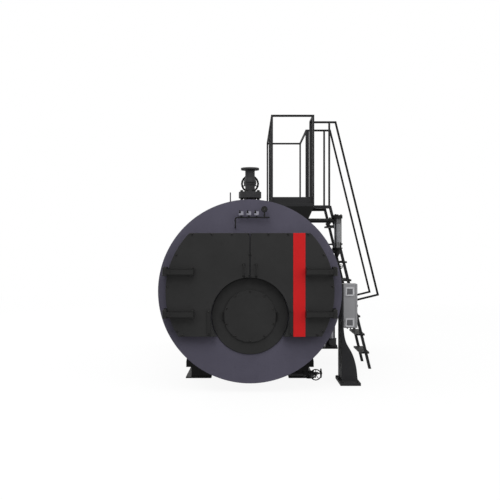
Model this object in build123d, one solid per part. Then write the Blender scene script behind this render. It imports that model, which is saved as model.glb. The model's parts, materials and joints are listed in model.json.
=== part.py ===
from build123d import *
import os
from math import hypot, sqrt

# The boiler lies along Y with its front plate at Y = 0, its axis at X = 0 and the floor at Z = 0.
# Lengths are in millimetres. The finished model is moved so that its origin is the middle of the
# floor area that it covers.

# Shell and the straps over its cladding joints
SHELL_R = 1000
SHELL_LENGTH = 4400
SHELL_WALL = 16
END_PLATE = 12
SHELL_CLEARANCE = 105
SHELL_SEAT = 0.3
STRAP_FIRST = 640
STRAP_PITCH = 750
STRAP_WIDTH = 36
STRAP_THICK = 2
AXIS_Z = SHELL_CLEARANCE + SHELL_R
SHELL_TOP = AXIS_Z + SHELL_R

# Burner mouth, front smoke box and tubes
BURNER_DROP = 267
BURNER_RING_R = 412
BURNER_RING_THICK = 12
COVER_R = 283
COVER_THICK = 18
COVER_CHAMFER = 3
COVER_EAR_LENGTH = 105
COVER_EAR_REACH = 16
COVER_EAR_CORNER = 8
FURNACE_MARGIN = 18
FURNACE_WALL = 14
SMOKE_BOX_DEPTH = 260
TUBE_SHEET_THICK = 20
TUBE_R = 28
TUBE_PITCH = 118
TUBE_EDGE = 46
BURNER_Z = AXIS_Z - BURNER_DROP
FURNACE_R = BURNER_RING_R + FURNACE_MARGIN
RING_FACE = -BURNER_RING_THICK
COVER_FACE = RING_FACE - COVER_THICK

# Doors
DOOR_MARGIN = 94
DOOR_TOP_MARGIN = 368
DOOR_BOTTOM_MARGIN = 521
DOOR_THICK = 107
DOOR_SKIN = 10
DOOR_RIM = 14
DOOR_SEAT_GAP = 6
DOOR_SEAM = 6
DOOR_SEAM_BEVEL = 15
DOOR_RING_GAP = 8
DOOR_EDGE_FILLET = 4
LINING_RECESS = 5
GASKET_WIDTH = 16
GASKET_SEAT = 0.5
GASKET_LAND = 15
GASKET_MARGIN = 4
STRIP_MARGIN = 43
STRIP_WIDTH = 130
STRIP_THICK = 3
DOOR_R = SHELL_R - DOOR_MARGIN
DOOR_TOP = SHELL_TOP - DOOR_TOP_MARGIN
DOOR_BOTTOM = SHELL_CLEARANCE + DOOR_BOTTOM_MARGIN
DOOR_BACK = -DOOR_SEAT_GAP
DOOR_FACE = DOOR_BACK - DOOR_THICK
DOOR_CUTOUT_R = BURNER_RING_R + DOOR_RING_GAP
DOOR_OPENING_INSET = DOOR_RIM + GASKET_WIDTH + GASKET_LAND
LINING_BACK = DOOR_BACK - LINING_RECESS
LINING_SEAM = DOOR_SEAM / 2 + DOOR_SEAM_BEVEL + DOOR_RIM
SEAM_POST_HALF = LINING_SEAM + GASKET_WIDTH + GASKET_MARGIN
OPENING_R = DOOR_R - DOOR_OPENING_INSET
OPENING_TOP = DOOR_TOP - DOOR_OPENING_INSET
OPENING_BOTTOM = DOOR_BOTTOM + DOOR_OPENING_INSET
MOUTH_R = DOOR_CUTOUT_R + DOOR_OPENING_INSET
SEAM_POST_FOOT = BURNER_Z + sqrt(MOUTH_R**2 - SEAM_POST_HALF**2)
STRIP_X = (DOOR_CUTOUT_R + STRIP_MARGIN, DOOR_CUTOUT_R + STRIP_MARGIN + STRIP_WIDTH)

# Door fittings
PULL_X = 66
PULL_LIFT = 17
PULL_LENGTH = 123
PULL_REACH = 45
PULL_R = 7
BAR_GAP = 3
BAR_LIFT = 19
BAR_LENGTH = 267
BAR_WIDTH = 38
BAR_THICK = 12
BAR_X = STRIP_X[0] - BAR_GAP - BAR_WIDTH / 2

# Hinges
HINGE_INSET = 1
HINGE_STANDOFF = 77
HINGE_ABOVE = 219
HINGE_BELOW = 233
HINGE_PIN_R = 12
HINGE_PIN_CLEARANCE = 0.4
ARM_HEIGHT = 56
ARM_THICK = 22
ARM_EYE_WALL = 12
ARM_END_GAP = 7
ARM_END_THICK = 25
ARM_END_HEIGHT = 80
FORK_PLATE = 14
FORK_SIDE_GAP = 1
FORK_STEM_INNER = 8
FORK_STEM_OUTER = 26
FORK_BACK_GAP = 6
PIN_HEAD_R = 17
PIN_HEAD_HEIGHT = 8
HINGE_X = DOOR_R - HINGE_INSET
HINGE_Y = DOOR_FACE - HINGE_STANDOFF
HINGE_HEIGHTS = (AXIS_Z - HINGE_BELOW, AXIS_Z + HINGE_ABOVE)
ARM_EYE_R = HINGE_PIN_R + ARM_EYE_WALL

# Pressure header on the front plate
HEADER_LIFT = 170
HEADER_STANDOFF = 75
HEADER_R = 7
HEADER_LEAD = 63
HEADER_TAIL = 55
HEADER_DROP = 110
HEADER_BEND = 26
HEADER_STAY_PLACE = 33
HEADER_STAY_R = 6
STUB_R = 6
SWITCHES = 3
SWITCH_FIRST_X = -95
SWITCH_PITCH = 82.5
SWITCH_WIDTH = 50
SWITCH_DEPTH = 46
SWITCH_HEIGHT = 42
SWITCH_RISE = 21
SWITCH_CORNER = 5
DIAL_GAP = 28
DIAL_RISE = 87
DIAL_R = 32
DIAL_DEPTH = 34
DIAL_NECK = 12
DIAL_CHAMFER = 3
HEADER_Z = DOOR_TOP + HEADER_LIFT
HEADER_Y = -HEADER_STANDOFF
SWITCH_X = [SWITCH_FIRST_X + place * SWITCH_PITCH for place in range(SWITCHES)]
DIAL_X = SWITCH_X[-1] + SWITCH_WIDTH / 2 + DIAL_GAP + DIAL_R
DIAL_Z = HEADER_Z + DIAL_RISE

# Steam nozzle and valve
STEAM_Y = 2000
NOZZLE_STAND = 203
NOZZLE_BORE = 62
NOZZLE_WALL = 22
NOZZLE_HUB = 14
NOZZLE_HUB_HEIGHT = 16
NOZZLE_FLANGE_REACH = 71
NOZZLE_FLANGE_THICK = 41
VALVE_FLANGE_THICK = 43
VALVE_NECK_R = 66
VALVE_WALL = 11
VALVE_HUB = 8
VALVE_HUB_HEIGHT = 12
VALVE_LOWER_NECK = 85
VALVE_UPPER_NECK = 108
VALVE_GLOBE_BULGE = 10
VALVE_GLOBE_HALF = 55
VALVE_BORE_DEPTH = 70
OUTLET_FLANGE_THICK = 26
OUTLET_FLANGE_EDGE = 20
OUTLET_PCD = 210
OUTLET_HOLES = 8
OUTLET_HOLE_R = 9
BONNET_R = 58
BONNET_STAND = 10
BONNET_FLANGE_REACH = 30
BONNET_FLANGE_THICK = 20
BONNET_CAP_THICK = 18
BONNET_TAPER = 60
BONNET_TOP_R = 35
GLAND_R = 24
GLAND_HEIGHT = 14
GLAND_DEPTH = 30
YOKE_LENGTH = 72
YOKE_LEG_WIDTH = 24
YOKE_LEG_THICK = 14
YOKE_LEG_INSET = 8
CROWN_R = 26
CROWN_TAPER = 4
CROWN_LENGTH = 20
STEM_R = 11
STEM_ENTRY = 25
STEM_TIP = 9
STEAM_WHEEL_R = 126
STEAM_WHEEL_GAP = 28
STEAM_RIM_R = 11
STEAM_HUB_R = 24
STEAM_HUB_LENGTH = 26
NOZZLE_R = NOZZLE_BORE + NOZZLE_WALL
NOZZLE_FLANGE_R = NOZZLE_R + NOZZLE_FLANGE_REACH
NOZZLE_TOP = SHELL_TOP + NOZZLE_STAND
VALVE_BORE_R = VALVE_NECK_R - VALVE_WALL
VALVE_GLOBE_R = VALVE_NECK_R + VALVE_GLOBE_BULGE
VALVE_GLOBE_Z = NOZZLE_TOP + VALVE_FLANGE_THICK + VALVE_LOWER_NECK + VALVE_GLOBE_HALF
OUTLET_TOP = VALVE_GLOBE_Z + VALVE_GLOBE_HALF + VALVE_UPPER_NECK + OUTLET_FLANGE_THICK
OUTLET_FLANGE_R = OUTLET_PCD / 2 + OUTLET_FLANGE_EDGE
BONNET_FLANGE_R = BONNET_R + BONNET_FLANGE_REACH
BONNET_START = VALVE_GLOBE_R + BONNET_STAND
BONNET_SPLIT = BONNET_START + BONNET_FLANGE_THICK
BONNET_END = BONNET_SPLIT + BONNET_CAP_THICK + BONNET_TAPER
YOKE_END = BONNET_END + YOKE_LENGTH
STEAM_WHEEL_Y = YOKE_END + STEAM_WHEEL_GAP

# Handwheels
WHEEL_SPOKES = 5
FIRST_SPOKE = 90
SPOKE_SHARE = 0.7
WHEEL_CLEARANCE = 0.3

# Vent pipe
VENT_X = -233
VENT_Y = 700
VENT_R = 7
VENT_HEIGHT = 128
VENT_SOCKET_R = 16
VENT_SOCKET_RISE = 5

# Platform
PLATFORM_INNER = 262
PLATFORM_WIDTH = 539
PLATFORM_START = 1101
PLATFORM_LENGTH = 2293
PLATFORM_LIFT = 35
FLOOR_PLATE = 6
FRAME_DEPTH = 34
FRAME_WIDTH = 40
BEARERS = 6
TOE_HEIGHT = 77
TOE_THICK = 5
RAIL_HEIGHT = 1100
RAIL_SIZE = 24
GUSSET_THICK = 12
GUSSET_PLACE = 158
GUSSET_INSET = 11
GUSSET_LEAN = 0.461
GUSSET_LIP = 24
FOOT_SIZE = 30
PLATFORM_X = (PLATFORM_INNER, PLATFORM_INNER + PLATFORM_WIDTH)
PLATFORM_Y = (PLATFORM_START, PLATFORM_START + PLATFORM_LENGTH)
PLATFORM_TOP = SHELL_TOP + PLATFORM_LIFT
FRAME_Z = (PLATFORM_TOP - FLOOR_PLATE - FRAME_DEPTH, PLATFORM_TOP - FLOOR_PLATE)
RAIL_TOP = PLATFORM_TOP + RAIL_HEIGHT

# Feed pump and its shelf
SHELF_TOP = 262
SHELF_WIDTH = 190
SHELF_PLATE = 8
SHELF_PLATE_GAP = 22
SHELF_ARM = 14
SHELF_POST = 50
SHELF_POST_INSET = 29
SHELF_OVERHANG = 77
PUMP_SHELL_GAP = 21
PUMP_PLACE = 127
PUMP_FOOT = 150
PUMP_FOOT_CORNER = 12
PUMP_FOOT_THICK = 18
PUMP_CASE_R = 68
PUMP_CASE_HEIGHT = 110
PUMP_CASE_TAPER = 16
PUMP_PORT_RISE = 67
PUMP_PORT_R = 26
PUMP_PORT_FLANGE_R = 42
PUMP_PORT_FLANGE_THICK = 16
PUMP_PORT_REACH = 118
SLEEVE_R = 47
SLEEVE_LENGTH = 428
PUMP_TIES = 4
PUMP_TIE_R = 6
PUMP_TIE_GAP = 5
PUMP_CASE_LEDGE = 12
STOOL_LENGTH = 160
STOOL_FLANGE = 22
STOOL_FLARE = 28
STOOL_RIM = 14
STOOL_RIM_FLARE = 16
STOOL_WAIST_R = 46
STOOL_FOOT_R = 70
STOOL_HEAD_R = 66
STOOL_WINDOW_WIDTH = 44
STOOL_WINDOW_MARGIN = 10
COUPLING_R = 15
MOTOR_R = 70
MOTOR_LENGTH = 340
MOTOR_FIN = 5
MOTOR_FIN_THICK = 4
MOTOR_FIN_START = 24
MOTOR_FINS = 20
FAN_COVER_HEIGHT = 70
FAN_COVER_TAPER = 12
TERMINAL_BOX_RISE = 130
TERMINAL_BOX_HEIGHT = 90
TERMINAL_BOX_WIDTH = 60
TERMINAL_BOX_REACH = 34
PUMP_TIE_CIRCLE = SLEEVE_R + PUMP_TIE_GAP + PUMP_TIE_R
PUMP_CASE_TOP = SHELF_TOP + PUMP_CASE_HEIGHT
PUMP_PORT_Z = SHELF_TOP + PUMP_PORT_RISE
SLEEVE_TOP = PUMP_CASE_TOP + SLEEVE_LENGTH
STOOL_TOP = SLEEVE_TOP + STOOL_LENGTH
MOTOR_TOP = STOOL_TOP + MOTOR_LENGTH
FAN_COVER_TOP = MOTOR_TOP + FAN_COVER_HEIGHT
PUMP_X = SHELL_R + PUMP_SHELL_GAP + MOTOR_R

# Stair, which goes down just outside the feed pump's motor
STAIR_PLACE = 438
STAIR_WIDTH = 651
STAIR_LEAN = 0.2456
STRINGER_SIZE = 35
TOP_STEP = 259
RISE = 238
LOWEST_STEP = 100
TREAD_INNER = 70
TREAD_OUTER = 49
TREAD_THICK = 22
STAIR_PUMP_GAP = 2
STAIR_POST_GAP = 1
RAIL_OVERRUN = 70
RAIL_END_Z = 970
STAIR_Y = (PLATFORM_START + STAIR_PLACE, PLATFORM_START + STAIR_PLACE + STAIR_WIDTH)
STAIR_TOP_Z = PLATFORM_TOP - FLOOR_PLATE - STRINGER_SIZE / 2
LANDING_END = (
    PUMP_X + MOTOR_R + STAIR_PUMP_GAP + TREAD_INNER - (STAIR_TOP_Z - FAN_COVER_TOP) * STAIR_LEAN
)
STAIR_POST_X = (PLATFORM_X[1] + STAIR_POST_GAP, LANDING_END - RAIL_SIZE)
PUMP_Y = STAIR_Y[0] + PUMP_PLACE + PUMP_PORT_REACH

# Skids and saddles
SKID_INNER = 469
SKID_WIDTH = 310
SKID_FRONT = 880
SKID_REAR_GAP = 760
SKID_THICK = 16
SADDLE_THICK = 20
SADDLE_FRONT_INSET = 24
SADDLE_REAR_INSET = 100
SADDLE_WEB_WIDTH = 243
SADDLE_EAR_INSET = 3
SADDLE_EAR_Z = 131
SADDLE_EAR_HEIGHT = 67
SADDLE_CURVE_IN = 20
SADDLE_CURVE_UP = 110
SADDLE_NECK_INSET = 60
SADDLE_SINK = 58
SADDLE_RIB_PLACE = 121
SADDLE_RIB_DEPTH = 130
SKID_X = (SKID_INNER, SKID_INNER + SKID_WIDTH)
SKID_Y = (SKID_FRONT, SHELL_LENGTH - SKID_REAR_GAP)
SADDLE_Y = (SKID_Y[0] + SADDLE_FRONT_INSET, SKID_Y[1] - SADDLE_REAR_INSET)
SHELF_X = (SKID_X[1] - SHELF_POST_INSET - SHELF_POST, PUMP_X + SHELF_OVERHANG)
SHELF_Y = (PUMP_Y - SHELF_WIDTH / 2, PUMP_Y + SHELF_WIDTH / 2)

# Blowdown line
DRAIN_Y = 560
DRAIN_Z = 117
DRAIN_START_X = 400
DRAIN_R = 24
DRAIN_BEND = 40
DRAIN_ROOT = 300
DRAIN_RUN = 240
DRAIN_VALVE_LENGTH = 100
DRAIN_FLANGE_R = 37
DRAIN_FLANGE_THICK = 12
DRAIN_BODY_R = 31
DRAIN_OUTLET_R = 20
DRAIN_OUTLET_DROP = 51
BLOWDOWN_GLAND_R = 16
SIDE_WHEEL_REACH = 88
SIDE_GLAND_GAP = 34
SIDE_STEM = 60
SAMPLE_RUN = 120
SAMPLE_OFFSET = 60
SAMPLE_RISE = 15
SAMPLE_DROP = 38
SAMPLE_PIPE_R = 12
SAMPLE_BEND = 25
SAMPLE_BODY_R = 23
SAMPLE_NOZZLE_R = 8
FRONT_WHEEL_REACH = 63
FRONT_GLAND_GAP = 14
FRONT_GLAND_DEPTH = 31
FRONT_STEM = 32
FRONT_WHEEL_R = 64
SIDE_WHEEL_R = 54
BLOWDOWN_RIM_R = 5
BLOWDOWN_HUB_R = 14
BLOWDOWN_HUB_LENGTH = 16
BLOWDOWN_STEM_R = 8
BLOWDOWN_STEM_TIP = 4
DRAIN_VALVE_X = (DRAIN_START_X + DRAIN_RUN, DRAIN_START_X + DRAIN_RUN + DRAIN_VALVE_LENGTH)
DRAIN_MIDDLE_X = (DRAIN_VALVE_X[0] + DRAIN_VALVE_X[1]) / 2
SIDE_WHEEL_X = DRAIN_VALVE_X[1] + SIDE_WHEEL_REACH
SAMPLE_X = DRAIN_MIDDLE_X + SAMPLE_OFFSET
SAMPLE_Y = DRAIN_Y - SAMPLE_RUN
SAMPLE_Z = DRAIN_Z + SAMPLE_RISE
FRONT_WHEEL_Y = SAMPLE_Y - FRONT_WHEEL_REACH

# Level gauge
GAUGE_SHELL_GAP = 91
GAUGE_PLACE = 49
GAUGE_UPPER_DROP = 182
GAUGE_PIPE_R = 27
GAUGE_PIPE_ROOT = 50
GAUGE_FLANGE_REACH = 14
GAUGE_FLANGE_THICK = 20
GAUGE_FLANGE_GAP = 14
GAUGE_GLASS_R = 38
GAUGE_TIES = 3
GAUGE_TIE_R = 7
GAUGE_TIE_GAP = 3
GAUGE_COLLAR_WALL = 2
GAUGE_RIM_EDGE = 12
GAUGE_TOP_THICK = 40
GAUGE_SEAT_THICK = 15
GAUGE_CHAMBER_ABOVE = 27
GAUGE_CHAMBER_BELOW = 31
GAUGE_GLASS_LENGTH = 250
GAUGE_COLLAR_LENGTH = 56
GAUGE_LOWER_DROP = 44
GAUGE_BODY_R = 34
GAUGE_BODY_LENGTH = 35
GAUGE_TAIL_R = 24
GAUGE_TAIL_STEP = 14
GAUGE_TAIL_TAPER = 30
GAUGE_DRAIN_LENGTH = 146
GAUGE_DRAIN_R = 11
GAUGE_SLOTS = 8
GAUGE_SLOT_WIDTH = 12
GAUGE_SLOT_HEIGHT = 32
GAUGE_SLOT_DEPTH = 6
LEVER_PLACE = 129
LEVER_DROP = 68
LEVER_LENGTH = 79
LEVER_R = 9
LEVER_BALL_R = 17
LEVER_BALL_RISE = 24
COCK_BODY_R = 16
COCK_ARM_R = 9
COCK_ARM_LENGTH = 40
COCK_WHEEL_REACH = 30
COCK_WHEEL_R = 29
COCK_RIM_R = 4
COCK_HUB_R = 8
COCK_HUB_LENGTH = 10
COCK_STEM_R = 6
COCK_STEM_TIP = 3
GAUGE_X = SHELL_R + GAUGE_SHELL_GAP
GAUGE_Y = PLATFORM_START + GAUGE_PLACE
GAUGE_TIE_CIRCLE = GAUGE_GLASS_R + GAUGE_TIE_GAP + GAUGE_TIE_R
GAUGE_COLLAR_R = GAUGE_GLASS_R + GAUGE_COLLAR_WALL
GAUGE_RIM_R = GAUGE_TIE_CIRCLE + GAUGE_TIE_R + GAUGE_RIM_EDGE
GAUGE_UPPER_Z = SHELL_TOP - GAUGE_UPPER_DROP
GAUGE_FLANGE_Z = GAUGE_UPPER_Z + GAUGE_CHAMBER_ABOVE
GAUGE_GLASS_TOP = GAUGE_UPPER_Z - GAUGE_CHAMBER_BELOW
GAUGE_GLASS_END = GAUGE_GLASS_TOP - GAUGE_GLASS_LENGTH
GAUGE_COLLAR_END = GAUGE_GLASS_END - GAUGE_COLLAR_LENGTH
GAUGE_LOWER_Z = GAUGE_COLLAR_END - GAUGE_LOWER_DROP
GAUGE_SEAT_END = GAUGE_COLLAR_END - GAUGE_SEAT_THICK
GAUGE_BODY_END = GAUGE_LOWER_Z - GAUGE_BODY_LENGTH
GAUGE_TAIL_END = GAUGE_BODY_END - GAUGE_TAIL_STEP
GAUGE_DRAIN_Z = GAUGE_TAIL_END - GAUGE_DRAIN_LENGTH

# Control stand
STAND_SHELL_GAP = 36
STAND_BASE_WIDTH = 233
STAND_BASE_Y = (394, 882)
STAND_BASE_THICK = 32
STAND_BACK_INSET = 30
STAND_WIDTH = 188
STAND_Y = (527, 855)
STAND_CURVE = ((0.182, 0.727), (0.576, 0.534), (0.836, 0.33))
STAND_CURVE_LEAN = (0.1, -1)
POST_WIDTH = 23
CABINET_REACH = 160
CABINET_DEPTH = 197
CABINET_BOTTOM = 648
CABINET_HEIGHT = 512
CABINET_DOOR = 22
CABINET_DOOR_GAP = 3
CABINET_DOOR_CORNER = 5
CABINET_NECK_INSET = 4
VENT_FRAME = 102
VENT_FRAME_CORNER = 6
VENT_FRAME_THICK = 8
VENT_CORE = 68
VENT_CORE_SEAT = 3
VENT_SIDE_MARGIN = 20
VENT_LOW_MARGIN = 12
VENT_HIGH_MARGIN = 38
STAND_BASE_X = (SHELL_R + STAND_SHELL_GAP, SHELL_R + STAND_SHELL_GAP + STAND_BASE_WIDTH)
STAND_X = (STAND_BASE_X[0] + STAND_BACK_INSET, STAND_BASE_X[0] + STAND_BACK_INSET + STAND_WIDTH)
CABINET_X = (STAND_X[0] + POST_WIDTH, STAND_X[0] + POST_WIDTH + CABINET_REACH)
CABINET_Y = (STAND_Y[0], STAND_Y[0] + CABINET_DEPTH)
CABINET_Z = (CABINET_BOTTOM, CABINET_BOTTOM + CABINET_HEIGHT)
VENT_X_MIDDLE = CABINET_X[0] + VENT_SIDE_MARGIN + VENT_FRAME / 2
VENT_HEIGHTS = (
    CABINET_Z[0] + VENT_LOW_MARGIN + VENT_FRAME / 2,
    CABINET_Z[1] - VENT_HIGH_MARGIN - VENT_FRAME / 2,
)

# Rear end
REAR_COVER_R = 300
REAR_COVER_THICK = 20
REAR_COVER_CHAMFER = 4
FLUE_RISE = 375
FLUE_R = 200
FLUE_WALL = 6
FLUE_LENGTH = 200
FLUE_FLANGE_REACH = 50
FLUE_FLANGE_THICK = 10
FLUE_HOLE_PLACE = 30
FLUE_HOLES = 12
FLUE_HOLE_R = 7
REAR_FACE = SHELL_LENGTH
FLUE_Z = AXIS_Z + FLUE_RISE
FLUE_FLANGE_R = FLUE_R + FLUE_FLANGE_REACH
FLUE_PCD = 2 * (FLUE_R + FLUE_HOLE_PLACE)

# How far a cutting solid reaches past the faces that it cuts through
CUT_PAST = 1


def block(x, y, z):
    """A rectangular block over three (low, high) ranges."""
    middle = [(low + high) / 2 for low, high in (x, y, z)]
    size = [high - low for low, high in (x, y, z)]
    return Pos(*middle) * Box(*size)


def slab(outline, front, back):
    """An outline drawn in X and Z, made thick from one Y to another."""
    return extrude(Plane.XZ.offset(-back) * outline, amount=back - front)


def plan(outline, bottom, top):
    """An outline drawn in X and Y, made thick from one height to another."""
    return extrude(Plane.XY.offset(bottom) * outline, amount=top - bottom)


def rod(start, end, radius, bore=0):
    """A round bar, or a tube, from one point to another."""
    run = Vector(*end) - Vector(*start)
    section = Circle(radius) - Circle(bore) if bore else Circle(radius)
    return extrude(Plane(start, z_dir=run) * section, amount=run.length)


def turned(*profile):
    """A closed outline of (radius, height) points, turned about Z."""
    return revolve(Plane.XZ * make_face(Polyline(*profile, close=True)), Axis.Z)


def flange_ring(radius, bore, thick, pcd, holes, hole_r):
    """A flat ring standing on its lower face, with its bolt holes."""
    ring = Circle(radius) - Circle(bore)
    ring -= PolarLocations(pcd / 2, holes, start_angle=180 / holes) * Circle(hole_r)
    return extrude(ring, amount=thick)


def bent_pipe(points, radius, bend):
    """A round bar that follows straight runs joined by arcs of one radius."""
    path = FilletPolyline(*points, radius=bend)
    return sweep(Plane(path @ 0, z_dir=path % 0) * Circle(radius), path=path)


def mitred_bar(points, size):
    """A square bar in an X and Z plane, with a mitre at each corner."""
    path = Polyline(*points)
    section = Plane(path @ 0, z_dir=path % 0, x_dir=(0, 1, 0)) * Rectangle(size, size)
    return sweep(section, path=path, transition=Transition.RIGHT)


def handwheel(radius, rim_r, hub_r, hub_length, stem_r, stem, tip):
    """A spoked wheel about Z, its hub centred on the rim, on a stem that reaches down."""
    wheel = Torus(radius - rim_r, rim_r)
    for turn in range(WHEEL_SPOKES):
        spoke = rod((hub_r / 2, 0, 0), (radius - rim_r, 0, 0), rim_r * SPOKE_SHARE)
        wheel += Rot(0, 0, FIRST_SPOKE + 360 / WHEEL_SPOKES * turn) * spoke
    half = hub_length / 2
    return wheel + turned(
        (0, -stem),
        (stem_r, -stem),
        (stem_r, -half),
        (hub_r, -half),
        (hub_r, half),
        (stem_r, half),
        (stem_r, half + tip),
        (0, half + tip),
    )


def mirrored(solid):
    """The same solid on the other side of the boiler's middle plane."""
    return mirror(solid, about=Plane.YZ)


def shell_side(z):
    """The distance of the shell's side from the middle plane at a height."""
    return sqrt(SHELL_R**2 - (z - AXIS_Z) ** 2)


def shell_underside(x):
    """The height of the shell's underside at a distance from the middle plane."""
    return AXIS_Z - sqrt(SHELL_R**2 - x**2)


def on_axis(radius, start, end, bore=0):
    """A cylinder or ring on the boiler's axis from one Y to another."""
    return rod((0, start, AXIS_Z), (0, end, AXIS_Z), radius, bore)


def strap_spans():
    """The (start, end) of each strap over a joint of the cladding."""
    count = int((SHELL_LENGTH - STRAP_WIDTH - STRAP_FIRST) / STRAP_PITCH) + 1
    half = STRAP_WIDTH / 2
    middles = [STRAP_FIRST + place * STRAP_PITCH for place in range(count)]
    return [(middle - half, middle + half) for middle in middles]


def shell_envelope():
    """The room that the shell and its straps take from whatever is seated on them."""
    room = on_axis(SHELL_R + SHELL_SEAT, 0, SHELL_LENGTH)
    for start, end in strap_spans():
        room += on_axis(SHELL_R + STRAP_THICK + SHELL_SEAT, start - SHELL_SEAT, end + SHELL_SEAT)
    return room


SHELL_ENVELOPE = shell_envelope()


def half_outline(inset, seam):
    """One door's outline on the right, drawn in by an inset and by its own seam distance."""
    disc = Pos(0, AXIS_Z) * Circle(DOOR_R - inset)
    low, high = DOOR_BOTTOM + inset, DOOR_TOP - inset
    window = Pos((seam + DOOR_R) / 2, (low + high) / 2) * Rectangle(DOOR_R - seam, high - low)
    mouth = Pos(0, BURNER_Z) * Circle(DOOR_CUTOUT_R + inset)
    return disc & window - mouth


def shell_barrel():
    """The cladded barrel with a strap round each joint of its cladding."""
    barrel = on_axis(SHELL_R, END_PLATE, REAR_FACE - END_PLATE, SHELL_R - SHELL_WALL)
    for start, end in strap_spans():
        barrel += on_axis(SHELL_R + STRAP_THICK, start, end, SHELL_R - SHELL_WALL / 2)
    return barrel


def front_band(low, high):
    """The part of the front plate's disc between two heights."""
    band = Pos(0, (low + high) / 2) * Rectangle(2 * SHELL_R, high - low)
    return Pos(0, AXIS_Z) * Circle(SHELL_R) & band


def front_plate_side():
    """The crescent of the front plate outside the right door opening."""
    crescent = front_band(OPENING_BOTTOM, OPENING_TOP) - Pos(0, AXIS_Z) * Circle(OPENING_R)
    right = Pos(SHELL_R / 2, AXIS_Z) * Rectangle(SHELL_R, 2 * SHELL_R)
    return slab(crescent & right, 0, END_PLATE)


def burner_mouth_plate():
    """The round tongue that carries the burner ring, up to the foot of the post."""
    disc = Pos(0, BURNER_Z) * Circle(MOUTH_R)
    return slab(disc & front_band(OPENING_BOTTOM, SEAM_POST_FOOT), 0, END_PLATE)


def seam_post():
    """The flat bar behind the seam of the doors."""
    half = SEAM_POST_HALF
    return block((-half, half), (0, END_PLATE), (SEAM_POST_FOOT, OPENING_TOP))


def tube_places():
    """Tube centres in X and Z, on a grid that both door openings show."""
    reach = OPENING_R - TUBE_EDGE
    clear = MOUTH_R + TUBE_EDGE
    low = OPENING_BOTTOM + TUBE_EDGE
    high = OPENING_TOP - TUBE_EDGE
    places = []
    for row in range(int((high - low) / TUBE_PITCH) + 1):
        z = high - row * TUBE_PITCH
        for column in range(int(reach / TUBE_PITCH) + 1):
            x = SEAM_POST_HALF + TUBE_EDGE + column * TUBE_PITCH
            inside = hypot(x, z - AXIS_Z) < reach
            if inside and hypot(x, z - BURNER_Z) > clear:
                places += [(x, z), (-x, z)]
    return places


def tube_sheet():
    """The plate behind the smoke box, with its tube ends and the furnace tube welded to it."""
    front = SMOKE_BOX_DEPTH
    outline = Pos(0, AXIS_Z) * Circle(SHELL_R - SHELL_WALL)
    outline -= [Pos(x, z) * Circle(TUBE_R) for x, z in tube_places()]
    sheet = slab(outline, front, front + TUBE_SHEET_THICK)
    furnace = Pos(0, BURNER_Z) * (Circle(FURNACE_R) - Circle(FURNACE_R - FURNACE_WALL))
    return sheet + slab(furnace, END_PLATE, front)


def burner_ring():
    return slab(Pos(0, BURNER_Z) * Circle(BURNER_RING_R), RING_FACE, 0)


def burner_cover():
    """A round cover with a flat ear on each side."""
    cover = Pos(0, BURNER_Z) * Circle(COVER_R)
    ear_span = 2 * (COVER_R + COVER_EAR_REACH)
    ears = Pos(0, BURNER_Z) * RectangleRounded(ear_span, COVER_EAR_LENGTH, COVER_EAR_CORNER)
    solid = slab(cover + ears, RING_FACE - COVER_THICK / 2, RING_FACE) + slab(cover, COVER_FACE, RING_FACE)
    return chamfer(solid.edges().group_by(Axis.Y)[0], COVER_CHAMFER)


def door():
    """The right door's steel pan, with its free edge bevelled so that it clears the left door."""
    half = DOOR_SEAM / 2
    front = slab(half_outline(0, half), DOOR_FACE, DOOR_BACK)
    wedge = Polyline(
        (half, DOOR_FACE),
        (half + DOOR_SEAM_BEVEL, DOOR_BACK),
        (half - CUT_PAST, DOOR_BACK),
        (half - CUT_PAST, DOOR_FACE),
        close=True,
    )
    pan = front - plan(make_face(wedge), DOOR_BOTTOM - CUT_PAST, DOOR_TOP + CUT_PAST)
    pan = fillet(pan.edges().group_by(Axis.Y)[0], DOOR_EDGE_FILLET)
    hollow = half_outline(DOOR_RIM, LINING_SEAM)
    return pan - slab(hollow, DOOR_FACE + DOOR_SKIN, DOOR_BACK + CUT_PAST)


def door_lining():
    """The refractory filling of the right door's pan."""
    return slab(half_outline(DOOR_RIM, LINING_SEAM), DOOR_FACE + DOOR_SKIN, LINING_BACK)


def door_gasket():
    """The sealing rope round the edge of the filling, which bears on the front plate."""
    outer = half_outline(DOOR_RIM, LINING_SEAM)
    inner = half_outline(DOOR_RIM + GASKET_WIDTH, LINING_SEAM + GASKET_WIDTH)
    return slab(outer - inner, LINING_BACK, -GASKET_SEAT)


def red_strip():
    """A thin plate down the right door, cut to the door's outline."""
    low, high = STRIP_X
    band = Pos((low + high) / 2, AXIS_Z) * Rectangle(high - low, 2 * DOOR_R)
    return slab(half_outline(0, 0) & band, DOOR_FACE - STRIP_THICK, DOOR_FACE)


def hinge_arm(z):
    """One strap from the door's face out to the hinge pin, with its eye."""
    half = ARM_HEIGHT / 2
    depth = (HINGE_Y - ARM_THICK / 2, HINGE_Y + ARM_THICK / 2)
    start = STRIP_X[1] + ARM_END_GAP
    strap = block((start, HINGE_X), depth, (z - half, z + half))
    strap += Pos(HINGE_X, HINGE_Y, z) * Cylinder(ARM_EYE_R, ARM_HEIGHT)
    strap -= Pos(HINGE_X, HINGE_Y, z) * Cylinder(HINGE_PIN_R + HINGE_PIN_CLEARANCE, 2 * ARM_HEIGHT)
    lug = (z - ARM_END_HEIGHT / 2, z + ARM_END_HEIGHT / 2)
    return strap + block((start, start + ARM_END_THICK), (depth[0], DOOR_FACE), lug)


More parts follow.
